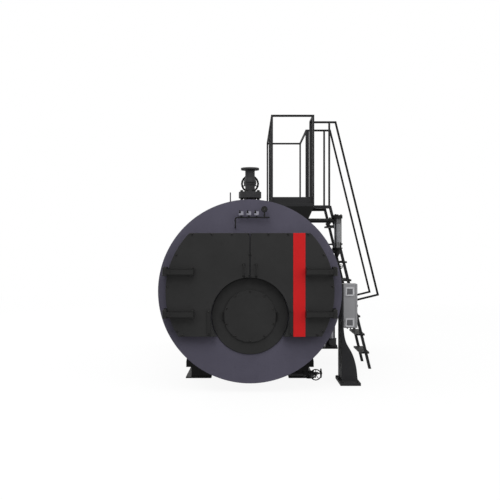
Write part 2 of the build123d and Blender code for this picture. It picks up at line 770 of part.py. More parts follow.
def hinge_fork(z):
    """The bracket on the front plate that holds one hinge pin above and below the eye."""
    half = ARM_HEIGHT / 2 + FORK_SIDE_GAP
    full = half + FORK_PLATE
    inner, outer = HINGE_X - ARM_EYE_R, HINGE_X + FORK_STEM_OUTER
    back = HINGE_Y + ARM_EYE_R + FORK_BACK_GAP
    fork = Pos(HINGE_X, HINGE_Y, z) * Cylinder(ARM_EYE_R, 2 * full)
    fork += block((inner, outer), (HINGE_Y, back + FORK_PLATE), (z - full, z + full))
    mouth_x = (inner - CUT_PAST, outer + CUT_PAST)
    fork -= block(mouth_x, (HINGE_Y - 2 * ARM_EYE_R, back), (z - half, z + half))
    fork += block((HINGE_X - FORK_STEM_INNER, outer), (back, 0), (z - full, z + full))
    fork += Pos(HINGE_X, HINGE_Y, z) * Cylinder(HINGE_PIN_R, 2 * full)
    head = Pos(HINGE_X, HINGE_Y, z + full + PIN_HEAD_HEIGHT / 2)
    return fork + head * Cylinder(PIN_HEAD_R, PIN_HEAD_HEIGHT)


def pull_handle():
    low = BURNER_Z + DOOR_CUTOUT_R + PULL_LIFT
    high = low + PULL_LENGTH
    out = DOOR_FACE - PULL_REACH
    route = [(PULL_X, DOOR_FACE, low), (PULL_X, out, low), (PULL_X, out, high), (PULL_X, DOOR_FACE, high)]
    return bent_pipe(route, PULL_R, 2 * PULL_R)


def door_fittings():
    """Hinge straps, pull handle and flat bar of the right door, each a solid of its own."""
    half = BAR_WIDTH / 2
    low = DOOR_BOTTOM + BAR_LIFT
    bar = block((BAR_X - half, BAR_X + half), (DOOR_FACE - BAR_THICK, DOOR_FACE), (low, low + BAR_LENGTH))
    return [hinge_arm(z) for z in HINGE_HEIGHTS] + [pull_handle(), bar]


def header_stub(x, top):
    return rod((x, HEADER_Y, HEADER_Z), (x, HEADER_Y, top), STUB_R)


def pressure_header():
    """The small pipe above the doors, with a stub for each instrument and one stay."""
    left, right = SWITCH_X[0] - HEADER_LEAD, DIAL_X + HEADER_TAIL
    drop = HEADER_Z - HEADER_DROP
    route = [(left, 0, drop), (left, HEADER_Y, drop), (left, HEADER_Y, HEADER_Z), (right, HEADER_Y, HEADER_Z)]
    pipe = bent_pipe(route, HEADER_R, HEADER_BEND)
    for x in SWITCH_X:
        pipe += header_stub(x, HEADER_Z + SWITCH_RISE)
    pipe += header_stub(DIAL_X, DIAL_Z - DIAL_R - DIAL_NECK)
    stay_x = DIAL_X + HEADER_STAY_PLACE
    return pipe + rod((stay_x, 0, HEADER_Z), (stay_x, HEADER_Y, HEADER_Z), HEADER_STAY_R)


def pressure_switch(x):
    half_width, half_depth = SWITCH_WIDTH / 2, SWITCH_DEPTH / 2
    low = HEADER_Z + SWITCH_RISE
    case = block(
        (x - half_width, x + half_width),
        (HEADER_Y - half_depth, HEADER_Y + half_depth),
        (low, low + SWITCH_HEIGHT),
    )
    return fillet(case.edges().filter_by(Axis.Z), SWITCH_CORNER)


def pressure_gauge():
    """A round case on a square neck."""
    case = Pos(DIAL_X, HEADER_Y, DIAL_Z) * Rot(90, 0, 0) * Cylinder(DIAL_R, DIAL_DEPTH)
    case = chamfer(case.edges().group_by(Axis.Y)[0], DIAL_CHAMFER)
    return case + block(
        (DIAL_X - STUB_R, DIAL_X + STUB_R),
        (HEADER_Y - STUB_R, HEADER_Y + STUB_R),
        (DIAL_Z - DIAL_R - DIAL_NECK, DIAL_Z),
    )


def steam_nozzle():
    """A pipe from the shell with a welding-neck flange."""
    under = NOZZLE_TOP - NOZZLE_FLANGE_THICK
    neck = turned(
        (NOZZLE_BORE, AXIS_Z),
        (NOZZLE_R, AXIS_Z),
        (NOZZLE_R, under - NOZZLE_HUB_HEIGHT),
        (NOZZLE_R + NOZZLE_HUB, under),
        (NOZZLE_FLANGE_R, under),
        (NOZZLE_FLANGE_R, NOZZLE_TOP),
        (NOZZLE_BORE, NOZZLE_TOP),
    )
    return Pos(0, STEAM_Y, 0) * neck - SHELL_ENVELOPE


def steam_valve_body():
    """A closed globe body between two flanges, open above its disc, with a seat for its bonnet."""
    top = OUTLET_TOP
    bore_end = top - VALVE_BORE_DEPTH
    flange_top = NOZZLE_TOP + VALVE_FLANGE_THICK
    outlet = top - OUTLET_FLANGE_THICK
    low, high = VALVE_GLOBE_Z - VALVE_GLOBE_HALF, VALVE_GLOBE_Z + VALVE_GLOBE_HALF
    lower = Polyline(
        (0, bore_end),
        (0, NOZZLE_TOP),
        (NOZZLE_FLANGE_R, NOZZLE_TOP),
        (NOZZLE_FLANGE_R, flange_top),
        (VALVE_NECK_R + VALVE_HUB, flange_top),
        (VALVE_NECK_R, flange_top + VALVE_HUB_HEIGHT),
        (VALVE_NECK_R, low),
    )
    globe = ThreePointArc((VALVE_NECK_R, low), (VALVE_GLOBE_R, VALVE_GLOBE_Z), (VALVE_NECK_R, high))
    upper = Polyline(
        (VALVE_NECK_R, high),
        (VALVE_NECK_R, outlet - VALVE_HUB_HEIGHT),
        (VALVE_NECK_R + VALVE_HUB, outlet),
        (OUTLET_FLANGE_R, outlet),
        (OUTLET_FLANGE_R, top),
        (VALVE_BORE_R, top),
        (VALVE_BORE_R, bore_end),
        (0, bore_end),
    )
    body = revolve(Plane.XZ * make_face(lower + globe + upper), Axis.Z)
    body += rod((0, VALVE_BORE_R, VALVE_GLOBE_Z), (0, BONNET_START, VALVE_GLOBE_Z), BONNET_R)
    body += rod((0, BONNET_START, VALVE_GLOBE_Z), (0, BONNET_SPLIT, VALVE_GLOBE_Z), BONNET_FLANGE_R)
    holes = PolarLocations(OUTLET_PCD / 2, OUTLET_HOLES, start_angle=180 / OUTLET_HOLES)
    drill = Cylinder(OUTLET_HOLE_R, 2 * (OUTLET_FLANGE_THICK + CUT_PAST))
    body -= [Pos(0, 0, top) * hole * drill for hole in holes]
    return Pos(0, STEAM_Y, 0) * body


def steam_valve_bonnet():
    """Bonnet flange, tapered neck, gland and the two legs of the yoke, turned about the stem."""
    cap = BONNET_SPLIT + BONNET_CAP_THICK
    crown = YOKE_END - CROWN_LENGTH
    yoke = turned(
        (0, BONNET_SPLIT),
        (BONNET_FLANGE_R, BONNET_SPLIT),
        (BONNET_FLANGE_R, cap),
        (BONNET_R, cap),
        (BONNET_TOP_R, BONNET_END),
        (GLAND_R, BONNET_END),
        (GLAND_R, BONNET_END + GLAND_HEIGHT),
        (0, BONNET_END + GLAND_HEIGHT),
    )
    yoke += turned((0, crown), (CROWN_R, crown), (CROWN_R - CROWN_TAPER, YOKE_END), (0, YOKE_END))
    outer = BONNET_R - YOKE_LEG_INSET
    width = (-YOKE_LEG_WIDTH / 2, YOKE_LEG_WIDTH / 2)
    leg = block((outer - YOKE_LEG_THICK, outer), width, (cap, crown))
    leg += block((0, outer), width, (crown, crown + YOKE_LEG_THICK))
    yoke += [leg, Rot(0, 0, 180) * leg]
    bore_start = (0, 0, BONNET_END - GLAND_DEPTH)
    yoke -= rod(bore_start, (0, 0, YOKE_END + CUT_PAST), STEM_R + WHEEL_CLEARANCE)
    return Pos(0, STEAM_Y, VALVE_GLOBE_Z) * Rot(-90, 0, 0) * yoke


def steam_valve_handwheel():
    """The wheel on its stem, which turns in the gland and yoke behind the valve."""
    stem = STEAM_WHEEL_Y - BONNET_END + STEM_ENTRY
    wheel = handwheel(STEAM_WHEEL_R, STEAM_RIM_R, STEAM_HUB_R, STEAM_HUB_LENGTH, STEM_R, stem, STEM_TIP)
    return Pos(0, STEAM_Y + STEAM_WHEEL_Y, VALVE_GLOBE_Z) * Rot(-90, 0, 0) * wheel


def vent_pipe():
    joint = SHELL_TOP + VENT_SOCKET_RISE
    socket = rod((VENT_X, VENT_Y, AXIS_Z), (VENT_X, VENT_Y, joint), VENT_SOCKET_R) - SHELL_ENVELOPE
    return socket + rod((VENT_X, VENT_Y, joint), (VENT_X, VENT_Y, joint + VENT_HEIGHT), VENT_R)


def platform_frame():
    """Two long beams and the bearers between them, under the floor plate."""
    left, right = PLATFORM_X
    near, far = PLATFORM_Y
    frame = block((left, left + FRAME_WIDTH), PLATFORM_Y, FRAME_Z)
    frame += block((right - FRAME_WIDTH, right), PLATFORM_Y, FRAME_Z)
    pitch = (far - near - FRAME_WIDTH) / (BEARERS - 1)
    for place in range(BEARERS):
        y = near + place * pitch
        frame += block(PLATFORM_X, (y, y + FRAME_WIDTH), FRAME_Z)
    return frame


def platform_floor():
    """The floor plate with the short landing that leads to the stair."""
    z = (FRAME_Z[1], PLATFORM_TOP)
    return block(PLATFORM_X, PLATFORM_Y, z) + block((PLATFORM_X[1], LANDING_END), STAIR_Y, z)


def toe_boards():
    """Upright boards inside the posts on every side but the stair's."""
    z = (PLATFORM_TOP, PLATFORM_TOP + TOE_HEIGHT)
    left, right = PLATFORM_X[0] + RAIL_SIZE, PLATFORM_X[1] - RAIL_SIZE
    near, far = PLATFORM_Y[0] + RAIL_SIZE, PLATFORM_Y[1] - RAIL_SIZE
    ring = block((left, right), (near, far), z)
    ring -= block((left + TOE_THICK, right - TOE_THICK), (near + TOE_THICK, far - TOE_THICK), z)
    return ring - block((right - 2 * TOE_THICK, right + CUT_PAST), STAIR_Y, z)


def post_rows():
    near, far = PLATFORM_Y
    return (near, STAIR_Y[0], STAIR_Y[1] - RAIL_SIZE, far - RAIL_SIZE)


def post(x, y, top):
    return block((x, x + RAIL_SIZE), (y, y + RAIL_SIZE), (PLATFORM_TOP, top))


def railing_posts():
    """Square posts of the platform, then the stair's own posts on the landing."""
    left, right = PLATFORM_X[0], PLATFORM_X[1] - RAIL_SIZE
    posts = [post(x, y, RAIL_TOP) for y in post_rows() for x in (left, right)]
    return posts + [post(x, y, RAIL_TOP - RAIL_SIZE) for y in post_rows()[1:3] for x in STAIR_POST_X]


def railing_top_rails():
    """Rails between the posts: both ends, the whole left side, and the right side but the gap."""
    z = (RAIL_TOP - RAIL_SIZE, RAIL_TOP)
    left, right = PLATFORM_X
    rows = post_rows()
    rails = []
    for y in (rows[0], rows[-1]):
        rails.append(block((left + RAIL_SIZE, right - RAIL_SIZE), (y, y + RAIL_SIZE), z))
    for start, end in zip(rows, rows[1:]):
        rails.append(block((left, left + RAIL_SIZE), (start + RAIL_SIZE, end), z))
        if start != STAIR_Y[0]:
            rails.append(block((right - RAIL_SIZE, right), (start + RAIL_SIZE, end), z))
    return rails


def platform_brackets():
    """Gussets that stand on the shell's shoulder, and small feet near its crown."""
    top = FRAME_Z[0]
    inner, outer = PLATFORM_X[0] + GUSSET_PLACE, PLATFORM_X[1] - GUSSET_INSET
    lip = top - GUSSET_LIP
    outline = Polyline(
        (inner, top),
        (outer, top),
        (outer, lip),
        (inner, lip - (outer - inner) / GUSSET_LEAN),
        close=True,
    )
    near, far = PLATFORM_Y
    foot_x = (PLATFORM_X[0], PLATFORM_X[0] + FOOT_SIZE)
    pieces = []
    for y in (near, (near + far - GUSSET_THICK) / 2, far - GUSSET_THICK):
        pieces.append(slab(make_face(outline), y, y + GUSSET_THICK) - SHELL_ENVELOPE)
    for y in (near, (near + far - FOOT_SIZE) / 2, far - FOOT_SIZE):
        pieces.append(block(foot_x, (y, y + FOOT_SIZE), (AXIS_Z, top)) - SHELL_ENVELOPE)
    return pieces


def stair_x(z):
    """The middle of a stringer at a height."""
    return LANDING_END + (STAIR_TOP_Z - z) * STAIR_LEAN


def stair_stringers():
    """A beam beside the landing that turns down to the floor, on each side."""
    below = -STRINGER_SIZE
    half = STRINGER_SIZE / 2
    ground = block((0, 2 * stair_x(0)), STAIR_Y, (3 * below, 0))
    pieces = []
    for y in (STAIR_Y[0] + half, STAIR_Y[1] - half):
        route = [
            (PLATFORM_X[1], y, STAIR_TOP_Z),
            (LANDING_END, y, STAIR_TOP_Z),
            (stair_x(below), y, below),
        ]
        pieces.append(mitred_bar(route, STRINGER_SIZE) - ground)
    return pieces


def stair_treads():
    """Steps hung between the stringers, counted down from the landing."""
    highest = PLATFORM_TOP - TOP_STEP
    width = (STAIR_Y[0] + STRINGER_SIZE, STAIR_Y[1] - STRINGER_SIZE)
    pieces = []
    for step in range(int((highest - LOWEST_STEP) / RISE) + 1):
        top = highest - step * RISE
        x = stair_x(top)
        pieces.append(block((x - TREAD_INNER, x + TREAD_OUTER), width, (top - TREAD_THICK, top)))
    return pieces


def stair_handrails():
    """Level over the landing, down in line with the stair, and square back to the stringer."""
    z = RAIL_TOP - RAIL_SIZE / 2
    slope = hypot(1, STAIR_LEAN)
    bend_x = LANDING_END + RAIL_OVERRUN
    end_x = bend_x + (z - RAIL_END_Z) * STAIR_LEAN
    back = (end_x - stair_x(RAIL_END_Z)) / slope - STRINGER_SIZE / 2
    pieces = []
    for y in (STAIR_Y[0] + RAIL_SIZE / 2, STAIR_Y[1] - RAIL_SIZE / 2):
        route = [
            (STAIR_POST_X[0], y, z),
            (bend_x, y, z),
            (end_x, y, RAIL_END_Z),
            (end_x - back / slope, y, RAIL_END_Z - back * STAIR_LEAN / slope),
        ]
        pieces.append(mitred_bar(route, RAIL_SIZE))
    return pieces


def skid_plates():
    skid = block(SKID_X, SKID_Y, (0, SKID_THICK))
    return [skid, mirrored(skid)]


def saddle(y, towards):
    """A web plate with a stepped outer ear, and a rib behind it, both shaped to the shell."""
    inner, ear = SKID_X[0], SKID_X[1] - SADDLE_EAR_INSET
    web = inner + SADDLE_WEB_WIDTH
    neck = ear - SADDLE_NECK_INSET
    top = shell_underside(neck) + SADDLE_SINK
    ear_top = SADDLE_EAR_Z + SADDLE_EAR_HEIGHT
    outline = Polyline(
        (neck, top),
        (inner, top),
        (inner, SKID_THICK),
        (web, SKID_THICK),
        (web, SADDLE_EAR_Z),
        (ear, SADDLE_EAR_Z),
        (ear, ear_top),
    )
    bend = (ear - SADDLE_CURVE_IN, ear_top + SADDLE_CURVE_UP)
    curve = ThreePointArc((ear, ear_top), bend, (neck, top))
    plate = slab(make_face(outline + curve), y, y + SADDLE_THICK)
    rib_x = inner + SADDLE_RIB_PLACE
    middle = y + SADDLE_THICK / 2
    rib_y = sorted((middle, middle + towards * SADDLE_RIB_DEPTH))
    return plate + block((rib_x, rib_x + SADDLE_THICK), rib_y, (SKID_THICK, top)) - SHELL_ENVELOPE


def saddles():
    pieces = []
    for y, towards in zip(SADDLE_Y, (1, -1)):
        right = saddle(y, towards)
        pieces += [right, mirrored(right)]
    return pieces


def blowdown_line():
    """Drain pipe from the shell's underside, the valve over its outlet, and a front sampling valve."""

    def along(start, end, radius, bore=0):
        return rod((start, DRAIN_Y, DRAIN_Z), (end, DRAIN_Y, DRAIN_Z), radius, bore)

    first, last = DRAIN_VALVE_X
    root = (DRAIN_START_X, DRAIN_Y, DRAIN_Z + DRAIN_ROOT)
    corner = (DRAIN_START_X, DRAIN_Y, DRAIN_Z)
    line = bent_pipe([root, corner, (first, DRAIN_Y, DRAIN_Z)], DRAIN_R, DRAIN_BEND) - SHELL_ENVELOPE
    line += along(first, last, DRAIN_BODY_R)
    for x in (first, last):
        line += along(x - DRAIN_FLANGE_THICK, x, DRAIN_FLANGE_R)
    bore = BLOWDOWN_STEM_R + WHEEL_CLEARANCE
    line += along(last, SIDE_WHEEL_X - SIDE_GLAND_GAP, BLOWDOWN_GLAND_R, bore)

    middle = (DRAIN_MIDDLE_X, DRAIN_Y, DRAIN_Z)
    outlet = (DRAIN_MIDDLE_X, DRAIN_Y, DRAIN_Z - DRAIN_OUTLET_DROP)
    line += rod(middle, outlet, DRAIN_OUTLET_R)
    line += Pos(*outlet) * Cylinder(DRAIN_FLANGE_R, DRAIN_FLANGE_THICK)

    valve = (SAMPLE_X, SAMPLE_Y, SAMPLE_Z)
    turn = (DRAIN_MIDDLE_X, SAMPLE_Y, SAMPLE_Z)
    line += bent_pipe([middle, turn, valve], SAMPLE_PIPE_R, SAMPLE_BEND)
    line += Pos(*valve) * Sphere(SAMPLE_BODY_R)
    line += rod(valve, (SAMPLE_X, SAMPLE_Y, SAMPLE_Z - SAMPLE_DROP), SAMPLE_NOZZLE_R)
    face = FRONT_WHEEL_Y + FRONT_GLAND_GAP
    line += rod(valve, (SAMPLE_X, face, SAMPLE_Z), BLOWDOWN_GLAND_R)
    bore_end = (SAMPLE_X, face + FRONT_GLAND_DEPTH, SAMPLE_Z)
    return line - rod(bore_end, (SAMPLE_X, face - CUT_PAST, SAMPLE_Z), bore)


def blowdown_wheel(radius, stem):
    """A small wheel whose stem reaches back into its valve."""
    return handwheel(
        radius,
        BLOWDOWN_RIM_R,
        BLOWDOWN_HUB_R,
        BLOWDOWN_HUB_LENGTH,
        BLOWDOWN_STEM_R,
        stem,
        BLOWDOWN_STEM_TIP,
    )


def gauge_pipe(z, column_r):
    """A pipe from the shell to the column, with a flange pair beside the column."""
    flange = GAUGE_X - GAUGE_RIM_R - GAUGE_FLANGE_GAP
    root = shell_side(z) - GAUGE_PIPE_ROOT
    pipe = rod((root, GAUGE_Y, z), (GAUGE_X, GAUGE_Y, z), GAUGE_PIPE_R)
    pipe += rod(
        (flange - GAUGE_FLANGE_THICK, GAUGE_Y, z),
        (flange, GAUGE_Y, z),
        GAUGE_PIPE_R + GAUGE_FLANGE_REACH,
    )
    column = Pos(GAUGE_X, GAUGE_Y, z) * Cylinder(column_r + SHELL_SEAT, 4 * GAUGE_PIPE_R)
    return pipe - column - SHELL_ENVELOPE


def level_gauge_pipes():
    """Steam and water connections from the shell, with a cock lever under the upper one."""
    x, z = GAUGE_X - LEVER_PLACE, GAUGE_UPPER_Z - LEVER_DROP
    route = [(x, GAUGE_Y, GAUGE_UPPER_Z), (x, GAUGE_Y, z), (x + LEVER_LENGTH, GAUGE_Y, z)]
    upper = gauge_pipe(GAUGE_UPPER_Z, GAUGE_COLLAR_R) + bent_pipe(route, LEVER_R, 2 * LEVER_R)
    upper += Pos(x, GAUGE_Y, z + LEVER_BALL_RISE) * Sphere(LEVER_BALL_R)
    return [upper, gauge_pipe(GAUGE_LOWER_Z, GAUGE_BODY_R)]


def gauge_collar(bottom, top):
    """A slotted steel collar that holds one end of the glass."""
    collar = rod((0, 0, bottom), (0, 0, top), GAUGE_COLLAR_R)
    cut = Box(2 * GAUGE_SLOT_DEPTH, GAUGE_SLOT_WIDTH, GAUGE_SLOT_HEIGHT)
    places = PolarLocations(GAUGE_COLLAR_R, GAUGE_SLOTS, start_angle=180 / GAUGE_SLOTS)
    middle = (bottom + top) / 2
    collar -= [Pos(0, 0, middle) * place * cut for place in places if place.position.X > -GAUGE_PIPE_R]
    return Pos(GAUGE_X, GAUGE_Y, 0) * collar


def level_gauge_collars():
    return [
        gauge_collar(GAUGE_GLASS_TOP, GAUGE_FLANGE_Z),
        gauge_collar(GAUGE_COLLAR_END, GAUGE_GLASS_END),
    ]


def level_gauge_column():
    """Head and seat held together by tie bolts, with the drain cock underneath."""
    top = GAUGE_FLANGE_Z + GAUGE_TOP_THICK
    column = rod((0, 0, GAUGE_FLANGE_Z), (0, 0, top), GAUGE_RIM_R)
    column += turned(
        (0, GAUGE_DRAIN_Z),
        (GAUGE_DRAIN_R, GAUGE_DRAIN_Z),
        (GAUGE_DRAIN_R, GAUGE_TAIL_END - GAUGE_TAIL_TAPER),
        (GAUGE_TAIL_R, GAUGE_TAIL_END),
        (GAUGE_BODY_R, GAUGE_BODY_END),
        (GAUGE_BODY_R, GAUGE_SEAT_END),
        (GAUGE_RIM_R, GAUGE_SEAT_END),
        (GAUGE_RIM_R, GAUGE_COLLAR_END),
        (0, GAUGE_COLLAR_END),
    )
    tie = rod((0, 0, GAUGE_COLLAR_END), (0, 0, GAUGE_FLANGE_Z), GAUGE_TIE_R)
    column += PolarLocations(GAUGE_TIE_CIRCLE, GAUGE_TIES) * tie
    drain = Pos(0, 0, GAUGE_DRAIN_Z)
    column += drain * Sphere(COCK_BODY_R) + drain * rod((0, 0, 0), (COCK_ARM_LENGTH, 0, 0), COCK_ARM_R)
    wheel = handwheel(
        COCK_WHEEL_R,
        COCK_RIM_R,
        COCK_HUB_R,
        COCK_HUB_LENGTH,
        COCK_STEM_R,
        COCK_WHEEL_REACH,
        COCK_STEM_TIP,
    )
    column += drain * Pos(COCK_ARM_LENGTH, -COCK_WHEEL_REACH, 0) * Rot(90, 0, 0) * wheel
    return Pos(GAUGE_X, GAUGE_Y, 0) * column


def level_gauge_glass():
    glass = rod((0, 0, GAUGE_GLASS_END), (0, 0, GAUGE_GLASS_TOP), GAUGE_GLASS_R)
    return Pos(GAUGE_X, GAUGE_Y, 0) * glass


def pump_shelf():
    """A plate on two cantilever arms, carried by short posts on the skid."""
    left, right = SHELF_X
    near, far = SHELF_Y
    under = SHELF_TOP - SHELF_PLATE
    shelf = block((SKID_X[1] + SHELF_PLATE_GAP, right), SHELF_Y, (under, SHELF_TOP))
    for y in (near, far - SHELF_POST):
        span = (y, y + SHELF_POST)
        shelf += block((left, right), span, (under - SHELF_ARM, under))
        shelf += block((left, left + SHELF_POST), span, (SKID_THICK, under))
    return shelf


def pump_case():
    """The cast foot with its suction and delivery ports in line."""
    foot = RectangleRounded(PUMP_FOOT, PUMP_FOOT, PUMP_FOOT_CORNER)
    case = plan(foot, SHELF_TOP, SHELF_TOP + PUMP_FOOT_THICK)
    case += turned(
        (0, SHELF_TOP),
        (PUMP_CASE_R, SHELF_TOP),
        (PUMP_CASE_R, PUMP_CASE_TOP - PUMP_CASE_TAPER),
        (PUMP_TIE_CIRCLE + PUMP_CASE_LEDGE, PUMP_CASE_TOP),
        (0, PUMP_CASE_TOP),
    )
    reach, inner = PUMP_PORT_REACH, PUMP_PORT_REACH - PUMP_PORT_FLANGE_THICK
    case += rod((0, -reach, PUMP_PORT_Z), (0, reach, PUMP_PORT_Z), PUMP_PORT_R)
    case += rod((0, -reach, PUMP_PORT_Z), (0, -inner, PUMP_PORT_Z), PUMP_PORT_FLANGE_R)
    return case + rod((0, inner, PUMP_PORT_Z), (0, reach, PUMP_PORT_Z), PUMP_PORT_FLANGE_R)


def motor_stool():
    """The waisted stool under the motor, with windows through which the coupling shows."""
    window_low = SLEEVE_TOP + STOOL_FLANGE + STOOL_FLARE + STOOL_WINDOW_MARGIN
    window_high = STOOL_TOP - STOOL_RIM - STOOL_RIM_FLARE - STOOL_WINDOW_MARGIN
    stool = turned(
        (0, SLEEVE_TOP),
        (STOOL_FOOT_R, SLEEVE_TOP),
        (STOOL_FOOT_R, SLEEVE_TOP + STOOL_FLANGE),
        (STOOL_WAIST_R, SLEEVE_TOP + STOOL_FLANGE + STOOL_FLARE),
        (STOOL_WAIST_R, STOOL_TOP - STOOL_RIM - STOOL_RIM_FLARE),
        (STOOL_HEAD_R, STOOL_TOP - STOOL_RIM),
        (STOOL_HEAD_R, STOOL_TOP),
        (0, STOOL_TOP),
    )
    half = STOOL_WINDOW_WIDTH / 2
    stool -= block((-half, half), (-STOOL_HEAD_R, STOOL_HEAD_R), (window_low, window_high))
    return stool + rod((0, 0, window_low), (0, 0, window_high), COUPLING_R)


def feed_pump():
    """Cast foot, stage sleeve with its tie rods, and the motor stool."""
    pump = pump_case() + motor_stool()
    pump += rod((0, 0, PUMP_CASE_TOP), (0, 0, SLEEVE_TOP), SLEEVE_R)
    tie = rod((0, 0, PUMP_CASE_TOP), (0, 0, SLEEVE_TOP), PUMP_TIE_R)
    pump += PolarLocations(PUMP_TIE_CIRCLE, PUMP_TIES, start_angle=180 / PUMP_TIES) * tie
    return Pos(PUMP_X, PUMP_Y, 0) * pump


def feed_pump_motor():
    """A finned frame, its fan cover and the terminal box on its front side."""
    motor = rod((0, 0, STOOL_TOP), (0, 0, MOTOR_TOP), MOTOR_R - MOTOR_FIN)
    half = MOTOR_FIN_THICK / 2
    fin = block((0, MOTOR_R), (-half, half), (STOOL_TOP + MOTOR_FIN_START, MOTOR_TOP))
    for turn in range(MOTOR_FINS):
        motor += Rot(0, 0, 360 / MOTOR_FINS * turn) * fin
    motor += turned(
        (0, MOTOR_TOP),
        (MOTOR_R, MOTOR_TOP),
        (MOTOR_R, FAN_COVER_TOP - FAN_COVER_TAPER),
        (MOTOR_R - FAN_COVER_TAPER, FAN_COVER_TOP),
        (0, FAN_COVER_TOP),
    )
    low = STOOL_TOP + TERMINAL_BOX_RISE
    motor += block(
        (-TERMINAL_BOX_WIDTH / 2, TERMINAL_BOX_WIDTH / 2),
        (-MOTOR_R - TERMINAL_BOX_REACH, 0),
        (low, low + TERMINAL_BOX_HEIGHT),
    )
    return Pos(PUMP_X, PUMP_Y, 0) * motor


def control_pedestal():
    """A stand with a straight back and an S-shaped front, on its own base plate."""
    back, toe = STAND_X
    post_front = CABINET_X[0]
    top = CABINET_Z[0]
    base = STAND_BASE_THICK
    width, height = toe - post_front, top - base
    bends = [(post_front + across * width, base + up * height) for across, up in STAND_CURVE]
    neck = (post_front, top)
    curve = Spline(neck, *bends, (toe, base), tangents=(STAND_CURVE_LEAN, STAND_CURVE_LEAN))
    sides = Polyline((toe, base), (back, base), (back, CABINET_Z[1]), (post_front, CABINET_Z[1]), neck)
    body = slab(make_face(curve + sides), STAND_Y[0], STAND_Y[1])
    return body + block(STAND_BASE_X, STAND_BASE_Y, (0, base))


def control_cabinet():
    """A case on the stand, whose door faces away from the boiler."""
    case_end = CABINET_X[1] - CABINET_DOOR
    leaf_start = case_end + CABINET_DOOR_GAP
    near, far = CABINET_Y
    low, high = CABINET_Z
    inset = CABINET_NECK_INSET
    neck = block((case_end, leaf_start), (near + inset, far - inset), (low + inset, high - inset))
    leaf = block((leaf_start, CABINET_X[1]), CABINET_Y, CABINET_Z)
    leaf = fillet(leaf.edges().filter_by(Axis.X), CABINET_DOOR_CORNER)
    return block((CABINET_X[0], case_end), CABINET_Y, CABINET_Z) + neck + leaf


def cabinet_vents():
    """Two square filter frames on the cabinet's front side, each with a sunk core."""
    face = CABINET_Y[0]
    front = face - VENT_FRAME_THICK
    pieces = []
    for z in VENT_HEIGHTS:
        place = Pos(VENT_X_MIDDLE, z)
        frame = slab(place * RectangleRounded(VENT_FRAME, VENT_FRAME, VENT_FRAME_CORNER), front, face)
        pieces.append(frame - slab(place * Rectangle(VENT_CORE, VENT_CORE), front, face - VENT_CORE_SEAT))
    return pieces


def rear_plate():
    disc = Pos(0, AXIS_Z) * Circle(SHELL_R)
    flue = Pos(0, FLUE_Z) * Circle(FLUE_R - FLUE_WALL)
    return slab(disc - flue, REAR_FACE - END_PLATE, REAR_FACE)


def rear_access_cover():
    cover = slab(Pos(0, BURNER_Z) * Circle(REAR_COVER_R), REAR_FACE, REAR_FACE + REAR_COVER_THICK)
    return chamfer(cover.edges().group_by(Axis.Y)[-1], REAR_COVER_CHAMFER)


def flue_outlet():
    """A short round duct on the rear plate, with a drilled flange for the stack duct."""
    bore = FLUE_R - FLUE_WALL
    duct = extrude(Circle(FLUE_R) - Circle(bore), amount=FLUE_LENGTH)
    flange = flange_ring(FLUE_FLANGE_R, bore, FLUE_FLANGE_THICK, FLUE_PCD, FLUE_HOLES, FLUE_HOLE_R)
    outlet = duct + Pos(0, 0, FLUE_LENGTH - FLUE_FLANGE_THICK) * flange
    return Pos(0, REAR_FACE, FLUE_Z) * Rot(-90, 0, 0) * outlet


FRONT_SIDE = front_plate_side()
RIGHT_DOOR = door()
RIGHT_LINING = door_lining()
RIGHT_GASKET = door_gasket()
FITTINGS = door_fittings()
FORKS = [hinge_fork(z) for z in HINGE_HEIGHTS]
FRONT_WHEEL_PLACE = Pos(SAMPLE_X, FRONT_WHEEL_Y, SAMPLE_Z) * Rot(90, 0, 0)
SIDE_WHEEL_PLACE = Pos(SIDE_WHEEL_X, DRAIN_Y, DRAIN_Z) * Rot(0, 90, 0)

